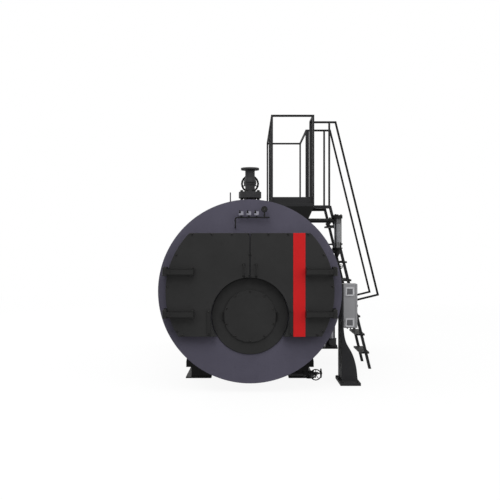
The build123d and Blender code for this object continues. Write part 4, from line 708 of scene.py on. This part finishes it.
def front_welds(solids):
    """Weld beads round the burner ring, and where the hinge brackets stand on the front plate."""
    solids.weld(spots((0, -1, BURNER_Z), Y, BURNER_RING_R + 2, 300), 3.2)
    inner, outer, half = 895, 933, 46
    foot = [(inner, -half), (outer, -half), (outer, half), (inner, half)]
    for sign in SIDES:
        for z in HINGE_HEIGHTS:
            solids.weld(spread([(sign * x, -1, z + dz) for x, dz in foot], 12), 4)


def header_fittings(solids):
    """Unions and sleeves of the pressure header."""
    union = [(0, 0), (8.5, 0), (10, 1.2), (10, 8), (8.5, 9), (0, 9)]
    sleeve = rod(9, 12)
    for x in SWITCH_X:
        solids.turned((x, HEADER_Y, HEADER_Z + 10.5), Z, union, HEX)
        solids.turned((x - 6, HEADER_Y, HEADER_Z), X, sleeve, 20)
    for lift, spin in ((12, 0.0), (24, 0.5)):
        solids.turned((DIAL_AT.x, HEADER_Y, HEADER_Z + lift), Z, union, HEX, spin)
    for x in (DIAL_AT.x - 6, -130):
        solids.turned((x, HEADER_Y, HEADER_Z), X, sleeve, 20)
    solids.turned((-158, HEADER_Y, HEADER_Z - 40), Z, sleeve, 20)


def switch_trim(solids):
    """The dark adjusting knob, the lid's screws and the cable entry of each pressure switch."""
    entry = [(0, 0), (9, 0), (9, 6), (7, 8), (6, 13), (0, 13)]
    for middle in SWITCH_X:
        x, z = middle - 13, SWITCH_Z + 11
        solids.turned((x, SWITCH_FACE, z), -Y, plug(11, 5, 9, 8), 18)
        slot = (SWITCH_FACE - 9.5, SWITCH_FACE - 8)
        solids.block((x - 1.5, x + 1.5), slot, (z - 8, z + 8))
        for dx, dz in ((18, -15), (18, 15), (-18, -15)):
            place = (middle + dx, SWITCH_FACE, SWITCH_Z + dz)
            solids.turned(place, -Y, plug(2.6, 0.9, 1.8, 1.6), 10)
        solids.turned((x, HEADER_Y, SWITCH_TOP), Z, entry, HEX)


def switch_lids(solids):
    """The raised front lid of each pressure switch."""
    depth, height = (SWITCH_FACE - 1.5, SWITCH_FACE + 1), (SWITCH_Z - 18, SWITCH_Z + 18)
    for x in SWITCH_X:
        solids.block((x - 22, x + 22), depth, height)


def dial_case(solids):
    """The pressure gauge's bezel and its back flange."""
    bezel = [(27.5, -1), (32.6, -1), (32.6, 3), (30.5, 5), (28.5, 5), (27.5, 3.5), (27.5, -1)]
    solids.turned(DIAL_AT, -Y, bezel, 56)
    solids.turned(DIAL_AT + Y * DIAL_LENGTH, -Y, rod(34, 3), 48)


def dial_way(degrees):
    """The directions out and across at an angle on the dial, which starts from its top."""
    turn = math.radians(degrees)
    return X * math.sin(turn) + Z * math.cos(turn), X * math.cos(turn) - Z * math.sin(turn)


def dial_marks(solids):
    """Even ticks without figures, and a pointer at rest."""
    for k in range(DIAL_TICKS):
        out, side = dial_way(DIAL_START + DIAL_STEP * k)
        deep, wide = (6, 0.6) if k % 5 == 0 else (3.5, 0.35)
        start = DIAL_AT + out * (26 - deep) - Y * 0.7
        across, along = side * wide, out * deep
        tick = [start - across, start + across, start + across + along, start - across + along]
        solids.prism(tick, -Y * 0.3)
    out, side = dial_way(DIAL_REST)
    centre = DIAL_AT - Y * 1.6
    across, tail = side * 1.6, out * 8
    solids.prism([centre - across - tail, centre + across - tail, centre + out * 22], -Y * 0.6)
    solids.turned(DIAL_AT - Y * 0.5, -Y, plug(4, 2, 2.5, 3), 20)


def dial_face(solids):
    """The dial behind the ticks."""
    solids.turned(DIAL_AT, -Y, rod(28, 0.7), 48)


def steam_bolts(solids):
    """Studs of the steam valve's lower flange pair and of its bonnet."""
    ring = spots((0, STEAM_Y, NOZZLE_TOP + VALVE_FLANGE), Z, 122, 8, 22.5)
    solids.bolts(ring, Z, 24, stud=False)
    solids.bolts([p - Z * (NOZZLE_FLANGE + VALVE_FLANGE) for p in ring], -Z, 24, stud=False)
    ring = spots((0, BONNET_SPLIT + BONNET_CAP, GLOBE_Z), Y, 74, 8, 22.5)
    solids.bolts(ring, Y, 11)
    solids.bolts([p - Y * (BONNET_FLANGE + BONNET_CAP) for p in ring], -Y, 11, washer=False)


def steam_trim(solids):
    """Joint rings of the flanges, and the gland follower with its ears and two studs."""
    solids.turned((0, STEAM_Y, NOZZLE_TOP), Z, band(148, 155.6, -1.5, 1.5), 64)
    solids.turned((0, BONNET_SPLIT, GLOBE_Z), Y, band(84, 88.6, -1, 1), 48)
    follower = [(12, 0), (25, 0), (25, 5), (18, 11), (12, 11), (12, 0)]
    solids.turned((0, GLAND_TOP, GLOBE_Z), Y, follower, 32)
    ear = GLAND_TOP + 6
    for sign in SIDES:
        x, across = sign * 27, sorted((sign * 20, sign * 33))
        solids.block(across, (GLAND_TOP, ear), (GLOBE_Z - 8, GLOBE_Z + 8))
        solids.turned((x, GLAND_TOP - 16, GLOBE_Z), Y, rod(3, 16), 10)
        solids.bolt((x, ear, GLOBE_Z), Y, 6)


def wheel_trim(solids):
    """The stem's thread and the nut that holds the steam valve's handwheel."""
    root, crest, pitch, turns = 10.8, 11.9, 3.5, 9
    ridge = [(root, 0)]
    for k in range(turns):
        ridge += [(crest, pitch * k + 1.2), (root, pitch * k + 2.6)]
    ridge += [(9, pitch * turns), (9, 0), (root, 0)]
    solids.turned((0, THREAD_START, GLOBE_Z), Y, ridge, 20)
    place = Vector(STEAM_WHEEL) + Y * STEAM_HUB_HALF
    solids.turned(place, Y, plug(16, 9, 14, 11), HEX)
    solids.turned(place, Y, rod(17.5, 2), 24)


def wheel_grip(solids, place, axis, radius, thick, lobes, spokes=0, start=0.0):
    """The scalloped grip of a cast handwheel and the ribs on its spokes."""
    for tip, out in circle(place, axis, radius, spokes, start):
        solids.rope([Vector(place) + out * 8, tip], 0.7 * thick, 10)
    side, up, _ = basis(axis)
    path = []
    count = lobes * 10
    for k in range(count):
        turn = math.tau * k / count
        reach = radius + 0.08 * thick * math.cos(lobes * turn)
        path.append(Vector(place) + (side * math.cos(turn) + up * math.sin(turn)) * reach)
    solids.rope(path, thick, 12, closed=True)


def steam_grip(solids):
    """The grip of the steam valve's handwheel."""
    wheel_grip(solids, STEAM_WHEEL, Y, 113.5, 13.5, 20)


def drain_grip(solids, place, axis, radius, start):
    """The grip and the five spokes' ribs of a blowdown wheel."""
    wheel_grip(solids, place, axis, radius, 6.4, 12, 5, start)


def drain_nut(solids, place, axis, *_):
    """The nut that holds a blowdown wheel."""
    solids.turned(place + axis * 8, axis, plug(10, 5, 8.5, 6.5), HEX)


def valve_shadow_band(solids):
    """A near-black raised ring round the valve body, painted shadow under the body's bulge."""
    solids.ring((0, STEAM_Y, GLOBE_Z + 4), Vector((0, -0.22, 1)), 71, 8, 64, 12)


def shell_welds(solids):
    """Beads where the nozzle, the vent's socket and the gauge pipes leave the shell."""
    for x0, y0, radius, bead in ((0, STEAM_Y, 86, 6), (*VENT_PIPE, 17, 3)):
        count = max(36, int(radius * 1.6))
        path = []
        for k in range(count):
            turn = math.tau * k / count
            x, y = x0 + radius * math.cos(turn), y0 + radius * math.sin(turn)
            path.append((x, y, AXIS_Z + rise(SHELL_R, x) + 1))
        solids.weld(path, bead, sides=7)
    radius, count = 28, 44
    for z0 in GAUGE_PIPES:
        path = []
        for k in range(count):
            turn = math.tau * k / count
            y, z = GAUGE[1] + radius * math.cos(turn), z0 + radius * math.sin(turn)
            path.append((rise(SHELL_R, z - AXIS_Z) + 1, y, z))
        solids.weld(path, 3.5)


def lozenges(solids, x_span, y_span, z, pitch=31.0):
    """Raised slanting lozenges of a checker plate, one way and the other by turns."""
    columns = int((x_span[1] - x_span[0]) / pitch)
    rows = int((y_span[1] - y_span[0]) / pitch)
    x0 = (x_span[0] + x_span[1] - (columns - 1) * pitch) / 2
    y0 = (y_span[0] + y_span[1] - (rows - 1) * pitch) / 2
    tips = ((-13, 0), (0, -3.6), (13, 0), (0, 3.6))
    faces = [(3, 2, 1, 0), (4, 5, 6, 7), (0, 1, 5, 4), (1, 2, 6, 5), (2, 3, 7, 6), (3, 0, 4, 7)]
    for i in range(columns):
        for j in range(rows):
            x, y = x0 + i * pitch, y0 + j * pitch
            turn = math.radians(45 if (i + j) % 2 else 135)
            c, s = math.cos(turn), math.sin(turn)
            points = []
            for scale, height in ((1, 0), (0.72, 1.4)):
                for u, v in tips:
                    u, v = u * scale, v * scale
                    points.append((x + u * c - v * s, y + u * s + v * c, z + height))
            solids.add(points, faces)


def stair_x(z):
    """Where the stringers' middle line runs at a height."""
    return LANDING_END + (STAIR_TOP - z) * STAIR_LEAN


def floor_pattern(solids):
    """Checker pattern on the walkway and the landing."""
    walk_x = (PLATFORM_X[0] + 30, PLATFORM_X[1] - 30)
    walk_y = (PLATFORM_Y[0] + 30, PLATFORM_Y[1] - 30)
    lozenges(solids, walk_x, walk_y, PLATFORM_TOP)
    landing_y = (STAIR_Y[0] + 26, STAIR_Y[1] - 26)
    lozenges(solids, (PLATFORM_X[1] - 14, 1048), landing_y, PLATFORM_TOP)


def tread_pattern(solids):
    """Checker pattern and a raised nosing on each tread."""
    for z in STEP_TOPS:
        x = stair_x(z)
        lozenges(solids, (x - 68, x + 40), (STAIR_Y[0] + 38, STAIR_Y[1] - 38), z, 27)
        solids.block((x + 43, x + 49), (STAIR_Y[0] + 36, STAIR_Y[1] - 36), (z - 1, z + 2))


def stair_bolts(solids):
    """Bolts through the stringers into each tread."""
    for top in STEP_TOPS:
        z = top - TREAD_THICK / 2
        for y, way in zip(STAIR_Y, (-Y, Y)):
            solids.bolt((stair_x(z), y, z), way, 9, stud=False)


def platform_welds(solids):
    """Beads at the feet of the platform's posts and of the stair's own posts."""
    rows = (PLATFORM_Y[0], STAIR_Y[0], STAIR_Y[1] - POST, PLATFORM_Y[1] - POST)
    feet = [(x, y) for y in rows for x in (PLATFORM_X[0], PLATFORM_X[1] - POST)]
    feet += [(x, y) for y in rows[1:3] for x in (PLATFORM_X[1] + 1, LANDING_END - POST)]
    low, high = 0.7, POST - 0.7
    for x, y in feet:
        square = [(low, high), (low, low), (high, low), (high, high)]
        solids.weld(spread([(x + dx, y + dy, PLATFORM_TOP) for dx, dy in square], 6), 2.2, 0.12)


def base_bolts(solids):
    """Anchor bolts of the skids and of the control stand's base plate."""
    for sign in SIDES:
        for x, y in ((530, 990), (705, 990), (624, 1900), (624, 2700), (530, 3475), (705, 3475)):
            solids.bolt((sign * x, y, SKID_TOP), Z, 18, spin=0.3)
    for x, y, size in ((1066, 436, 15), (1239, 436, 15), (1051, 690, 11), (1051, 840, 11)):
        solids.bolt((x, y, STAND_BASE_TOP), Z, size, spin=0.2)


def saddle_welds(solids):
    """Beads where the saddles meet the shell and the skids."""
    for sign in SIDES:
        for y in SADDLE_FACES:
            reach = [SADDLE_X + 5.4 * k for k in range(46)]
            path = [(sign * x, y, AXIS_Z - rise(SHELL_R, x)) for x in reach]
            solids.weld(path, 4, 0.12, closed=False)
            foot = [(sign * (SADDLE_X + 6 * k), y, SKID_TOP + 1) for k in range(40)]
            solids.weld(foot, 4, 0.12, closed=False)


def blowdown_bolts(solids):
    """Bolts on the blowdown line's flanges, and the two caps of the sampling valve."""
    solids.bolts(spots((628, DRAIN_Y, DRAIN_Z), -X, 30.5, 6), -X, 5)
    solids.bolts(spots((740, DRAIN_Y, DRAIN_Z), X, 28, 6), X, 6)
    solids.bolts(spots((690, DRAIN_Y, 72), Z, 29, 6), Z, 6)
    cap = [(9, 0), (18, 0), (18, 3), (16.5, 4), (9, 4), (9, 0)]
    solids.turned((SAMPLE_X, 391, SAMPLE_Z), -Y, cap, HEX)
    solids.turned((SAMPLE_X, SAMPLE_Y, 96), -Z, plug(11, 8, 9.5, 10), HEX)


def gauge_trim(solids):
    """Nuts of the level gauge's tie bolts, its flange bolts, top plug and lower cock's nut."""
    x, y = GAUGE
    for place in spots((x, y, GAUGE_TOP), Z, 48, 3, 90):
        solids.bolt(place, Z, 11)
        solids.bolt(place - Z * 419, -Z, 11)
    solids.turned((x, y, GAUGE_TOP), Z, plug(19, 9, 17, 11), HEX)
    for z in GAUGE_PIPES:
        solids.bolts(spots((990, y, z), -X, 34, 4, 45), -X, 6)
        solids.bolts(spots((1010, y, z), X, 34, 4, 45), X, 6, stud=False)
    solids.turned((x + 40, y - 44, 1328), -Y, rod(6, 4), HEX)


def gauge_packing(solids):
    """The packing rings where the collars hold the glass."""
    for z in (1642, 1886):
        solids.turned((*GAUGE, z), Z, band(36, 39.6, 0, 6), 40)


def gauge_core(solids):
    """The float guide inside the glass."""
    solids.turned((*GAUGE, 1643), Z, rod(9, 248), 20)
    for k in range(8):
        solids.turned((*GAUGE, 1668 + 28 * k), Z, rod(13, 4), 20)


def pump_bolts(solids):
    """Bolts of the feed pump's foot, its ports and its stool."""
    x, y = PUMP
    for dx, dy in corners(62, 62):
        solids.bolt((x + dx, y + dy, PUMP_FOOT_TOP), Z, 10, spin=0.4)
    for sign in SIDES:
        way = -sign * Y
        solids.bolts(spots((x, y + sign * 102, PORT_Z), way, 34, 4, 45), way, 7)
    for z, way, radius in ((822, Z, 60), (946, -Z, 57)):
        solids.bolts(spots((x, y, z), way, radius, 4, 45), way, 9)


def pump_bands(solids):
    """The bright jacket of the pump's sleeve and its stage joints."""
    solids.turned((*PUMP, 374), Z, band(45, 47.6, 0, 424), 64)
    joint = [(44, 0), (48, 0), (48.8, 1.2), (48.8, 3.8), (48, 5), (44, 5), (44, 0)]
    for k in range(11):
        solids.turned((*PUMP, 392 + 37 * k), Z, joint, 48)


def motor_trim(solids):
    """Fan grille on the motor, its terminal box lid with screws and gland, and its end rings."""
    x, y = PUMP
    for radius in (14, 25, 36, 47):
        solids.ring((x, y, FAN_TOP + 0.5), Z, radius, 1.8, 40, 6)
    for place, out in circle((x, y, FAN_TOP), Z, 30, 6):
        solids.rope([place - out * 22, place + out * 22], 1.8, 6)
    solids.turned((x, y, FAN_TOP - 1), Z, rod(10, 3), 24)
    lid = y - 109
    solids.block((x - 32, x + 32), (lid, lid + 6), (1088, 1182))
    for dx, dz in corners(25, 40):
        solids.bolt((x + dx, lid, 1135 + dz), -Y, 5, stud=False, washer=False)
    solids.gland((x, y - 88, 1090), 13, 24, 14)
    for z in (962, 1290):
        solids.turned((x, y, z), Z, band(64, 67.5, 0, 9), 56)


def vent_slats(solids):
    """Sloping slats over the filter in each of the cabinet's vents, and the frames' screws."""
    section = ((522.5, 0), (519.6, 0.6), (520.4, 4.6), (523.4, 4.2))
    half = 33
    for z in FILTER_HEIGHTS:
        for k in range(9):
            low = z - 32 + 7.2 * k
            outline = [(FILTER_X - half, y, low + dz) for y, dz in section]
            solids.prism(outline, X * (2 * half))
        for dx, dz in corners(43, 43):
            solids.turned((FILTER_X + dx, 519, z + dz), -Y, plug(3, 0.7, 2, 1.5), 12)


def vent_filters(solids):
    """The filter mats behind the slats."""
    half = 32.5
    for z in FILTER_HEIGHTS:
        solids.block((FILTER_X - half, FILTER_X + half), (521.2, 523), (z - half, z + half))


def cabinet_trim(solids):
    """The cabinet's door lock, hinges and cable glands."""
    y, z = 560, 904
    solids.turned((CABINET_SIDE, y, z), X, plug(13, 4, 11, 6), 28)
    solids.block((CABINET_SIDE + 6, CABINET_SIDE + 10), (y - 3, y + 3), (z - 12, z + 12))
    for z in (720, 1088):
        solids.turned((1233, 727, z - 28), Z, rod(6, 56), 16)
    for x in (1150, 1186):
        solids.gland((x, 650, CABINET_BOTTOM), 12, 23, 13.5)


def rear_bolts(solids):
    """Bolts of the rear access cover."""
    solids.bolts(spots((0, REAR_COVER_FACE, BURNER_Z), Y, 276, 16), Y, 13)


def rear_trim(solids):
    """Lifting handles of the rear cover, and the weld round the flue outlet."""
    for x in (-110, 110):
        path = []
        for k in range(25):
            turn = math.pi * k / 24
            y = REAR_COVER_FACE + 34 * math.sin(turn) ** 0.6
            path.append((x - 45 * math.cos(turn), y, BURNER_Z))
        solids.rope(path, 6, 10)
    solids.weld(spots((0, SHELL_LENGTH + 1, FLUE_Z), Y, FLUE_R + 2, 180), 4)


def strap_rivets(solids):
    """Rivets along both edges of the straps round the shell, but none where it is widest."""
    for y in STRAPS:
        for dy in (-11, 11):
            for place, out in circle((0, y + dy, AXIS_Z), Y, STRAP_R - 0.2, 64, 2.8):
                if abs(out.x) < 0.996:
                    solids.rivet(place, out, 3.4, 1.7)


def strap_clamps(solids):
    """The clamp that draws each strap tight: two lugs and a bolt through them."""
    turn = math.radians(-140)
    out = Vector((math.cos(turn), 0, math.sin(turn)))
    along = Vector((-math.sin(turn), 0, math.cos(turn)))
    wide, thick = Y * 14, along * 3
    for y in STRAPS:
        base = Vector((0, y, AXIS_Z)) + out * (STRAP_R - 1)
        for shift in (-22, 22):
            foot = base + along * shift
            left, right = foot - wide, foot + wide
            lug = [left - thick, right - thick, right + thick, left + thick]
            solids.prism(lug, out * 20)
        bar = base + out * 11
        solids.rope([bar - along * 38, bar + along * 38], 4, 10)
        solids.bolt(bar + along * 25, along, 8)


def tube_beads(solids):
    """A seal weld round each tube end of the tube sheet."""
    lip = [(26, 0), (31, 0), (30, 3), (27.6, 4), (26, 2), (26, 0)]
    inset = OPENING_INSET + TUBE_EDGE
    reach, clear = DOOR_R - inset, DOOR_CUTOUT_R + inset
    low, high = DOOR_BOTTOM + inset, DOOR_TOP - inset
    for row in range(int((high - low) / TUBE_PITCH) + 1):
        z = high - TUBE_PITCH * row
        for column in range(int(reach / TUBE_PITCH) + 1):
            x = SEAM_POST_HALF + TUBE_EDGE + TUBE_PITCH * column
            if math.hypot(x, z - AXIS_Z) < reach and math.hypot(x, z - BURNER_Z) > clear:
                for sign in SIDES:
                    solids.turned((sign * x, SMOKE_BOX_DEPTH, z), -Y, lip, 24)


def piece(name, build, slot, material=None, body="boiler"):
    """Builds a piece. What is built for the right door is mirrored for the left one."""
    solids = Solids()
    build(solids)
    if body == "left_door":
        solids = solids.mirrored()
    solids.done(name, body, slot, material or MATERIALS[slot])


# Each piece's name, what builds it, its slot, its own material where that isn't the slot's, and
# its body where that isn't the boiler
PIECES = (
    ("right_door_bolts", door_bolts, "door_paint", DARK_BOLT, "right_door"),
    # The doors' near-black strips along the hinge straps are painted shadow lines.
    ("right_door_welds_rosettes_and_shadow_strips", door_details, "door_paint", WELD_AND_PAINTED_SHADE, "right_door"),
    ("left_door_bolts", door_bolts, "door_paint", DARK_BOLT, "left_door"),
    ("left_door_welds_rosettes_and_shadow_strips", door_details, "door_paint", WELD_AND_PAINTED_SHADE, "left_door"),
    ("burner_cover_bolts", cover_bolts, "door_paint", DARK_BOLT),
    ("burner_cover_clamps", cover_clamps, "door_paint", WELD_AND_PAINTED_SHADE),
    ("front_plate_welds", front_welds, "door_paint", WELD_AND_PAINTED_SHADE),
    ("header_fittings", header_fittings, "black_paint"),
    ("switch_trim", switch_trim, "black_paint", RUBBER),
    ("switch_lids", switch_lids, "switch_grey"),
    ("dial_case", dial_case, "black_paint"),
    ("dial_marks", dial_marks, "switch_grey", TICKS),
    ("dial_face", dial_face, "black_paint", DIAL),
    ("steam_valve_bolts", steam_bolts, "valve_iron", DARK_BOLT),
    ("steam_valve_trim", steam_trim, "valve_iron"),
    ("steam_wheel_trim", wheel_trim, "pump_steel", None, "steam_handwheel"),
    # Painted shadow: a near-black ring under the steam valve's bulge.
    ("steam_valve_shadow_band", valve_shadow_band, "valve_iron", WELD_AND_PAINTED_SHADE),
    ("steam_wheel_grip", steam_grip, "valve_iron", WELD_AND_PAINTED_SHADE, "steam_handwheel"),
    ("shell_connection_welds", shell_welds, "shell_paint", SHELL_WELD),
    ("walkway_checker_pattern", floor_pattern, "tread_steel"),
    ("tread_checker_pattern", tread_pattern, "tread_steel"),
    ("stair_bolts", stair_bolts, "platform_paint", DARK_BOLT),
    ("platform_welds", platform_welds, "platform_paint", WELD_AND_PAINTED_SHADE),
    ("base_bolts", base_bolts, "black_paint", DARK_BOLT),
    ("saddle_welds", saddle_welds, "black_paint", WELD_AND_PAINTED_SHADE),
    ("blowdown_bolts", blowdown_bolts, "black_paint", DARK_BOLT),
    ("level_gauge_trim", gauge_trim, "black_paint"),
    ("level_gauge_packing", gauge_packing, "black_paint", RUBBER),
    ("level_gauge_core", gauge_core, "pump_steel"),
    ("feed_pump_bolts", pump_bolts, "valve_iron", DARK_BOLT),
    ("feed_pump_bands", pump_bands, "pump_steel"),
    ("motor_trim", motor_trim, "black_paint"),
    ("vent_slats", vent_slats, "vent_plastic", FILTER),
    ("vent_filters", vent_filters, "vent_plastic", FILTER),
    ("cabinet_trim", cabinet_trim, "black_paint", RUBBER),
    ("rear_cover_bolts", rear_bolts, "door_paint", DARK_BOLT),
    ("rear_trim", rear_trim, "door_paint", WELD_AND_PAINTED_SHADE),
    ("strap_rivets", strap_rivets, "shell_paint", SHELL_WELD),
    ("strap_clamps", strap_clamps, "shell_paint", ZINC),
    ("tube_end_welds", tube_beads, "tube_steel"),
    ("right_lining_anchors", lining_anchors, "tube_steel", None, "right_door"),
    ("left_lining_anchors", lining_anchors, "tube_steel", None, "left_door"),
)
for row in PIECES:
    piece(*row)

for label, build in (("grip", drain_grip), ("nut", drain_nut)):
    for wheel, where in DRAIN_WHEELS.items():
        name = f"{wheel}_{label}"
        piece(name, lambda solids: build(solids, *where), "black_paint", WELD_AND_PAINTED_SHADE, wheel)

scene = bpy.context.scene
camera_data = bpy.data.cameras.new("camera")
camera_data.lens = 50
camera_data.sensor_width = 36
camera = bpy.data.objects.new("camera", camera_data)
camera.location = ORIGIN + Vector((0, -7546, 1555)) * MM
camera.rotation_euler = (math.pi / 2, 0, 0)
scene.collection.objects.link(camera)
scene.camera = camera

# The white floor, a large square in metres just under the boiler. Seen directly it is brighter
# than the light that it gives back, and brighter still far away.
WHITE = (1, 1, 1, 1)
FLOOR_HALF = 60
FLOOR_Z = -0.0004
floor_mesh = bpy.data.meshes.new("floor")
floor_points = [(*corner, FLOOR_Z) for corner in corners(FLOOR_HALF, FLOOR_HALF)]
floor_mesh.from_pydata(floor_points, [], [(0, 2, 3, 1)])
floor = bpy.data.objects.new("floor", floor_mesh)
scene.collection.objects.link(floor)
paper = Nodes("studio_floor")
speckle = paper.span(paper.noise(3.0, 4.0), 0.3, 0.7)
tint = paper.mix(speckle, (0.25, 0.25, 0.25, 1), (0.27, 0.27, 0.27, 1))
tint = paper.mix(paper.seen(), tint, (0.95, 0.95, 0.95, 1))
matte = paper.add("BsdfDiffuse", {"Color": tint})
glow = paper.add("Emission", {"Color": WHITE, "Strength": 1.0})
away = paper.add("VectorMath", {0: paper.place}, operation="LENGTH").outputs["Value"]
share = paper.sum("ADD", paper.span(away, 3.0, 14.0, 0.0, 0.09), 0.91)
look = paper.blend(paper.sum("MULTIPLY", paper.seen(), share), matte, glow)
paper.add("OutputMaterial", {"Surface": look.outputs[0]})
floor_mesh.materials.append(paper.owner)

# A white backdrop that lights the boiler less than it shows
sky = Nodes("studio", "worlds")
ambient = sky.add("Background", {"Color": WHITE, "Strength": 0.7})
backdrop = sky.add("Background", {"Color": WHITE, "Strength": 1.0})
look = sky.blend(sky.seen(), ambient, backdrop)
sky.add("OutputWorld", {"Surface": look.outputs[0]})
scene.world = sky.owner


def lamp(name, place, aim, size, power):
    """A large square soft light, with its size in metres and its power in watts."""
    light = bpy.data.lights.new(name, "AREA")
    light.size = size
    light.energy = power
    holder = bpy.data.objects.new(name, light)
    holder.location = ORIGIN + Vector(place) * MM
    way = Vector(aim) - Vector(place)
    holder.rotation_euler = way.to_track_quat("-Z", "Y").to_euler()
    scene.collection.objects.link(holder)


lamp("key", (-800, -5500, 9000), (0, 0, 1300), 9.0, 565)
lamp("fill", (6500, -5500, 4500), (300, 500, 1300), 5.0, 150)
lamp("rear", (-5000, 9000, 6500), (0, 3500, 1300), 5.0, 300)

scene.view_settings.view_transform = "Standard"
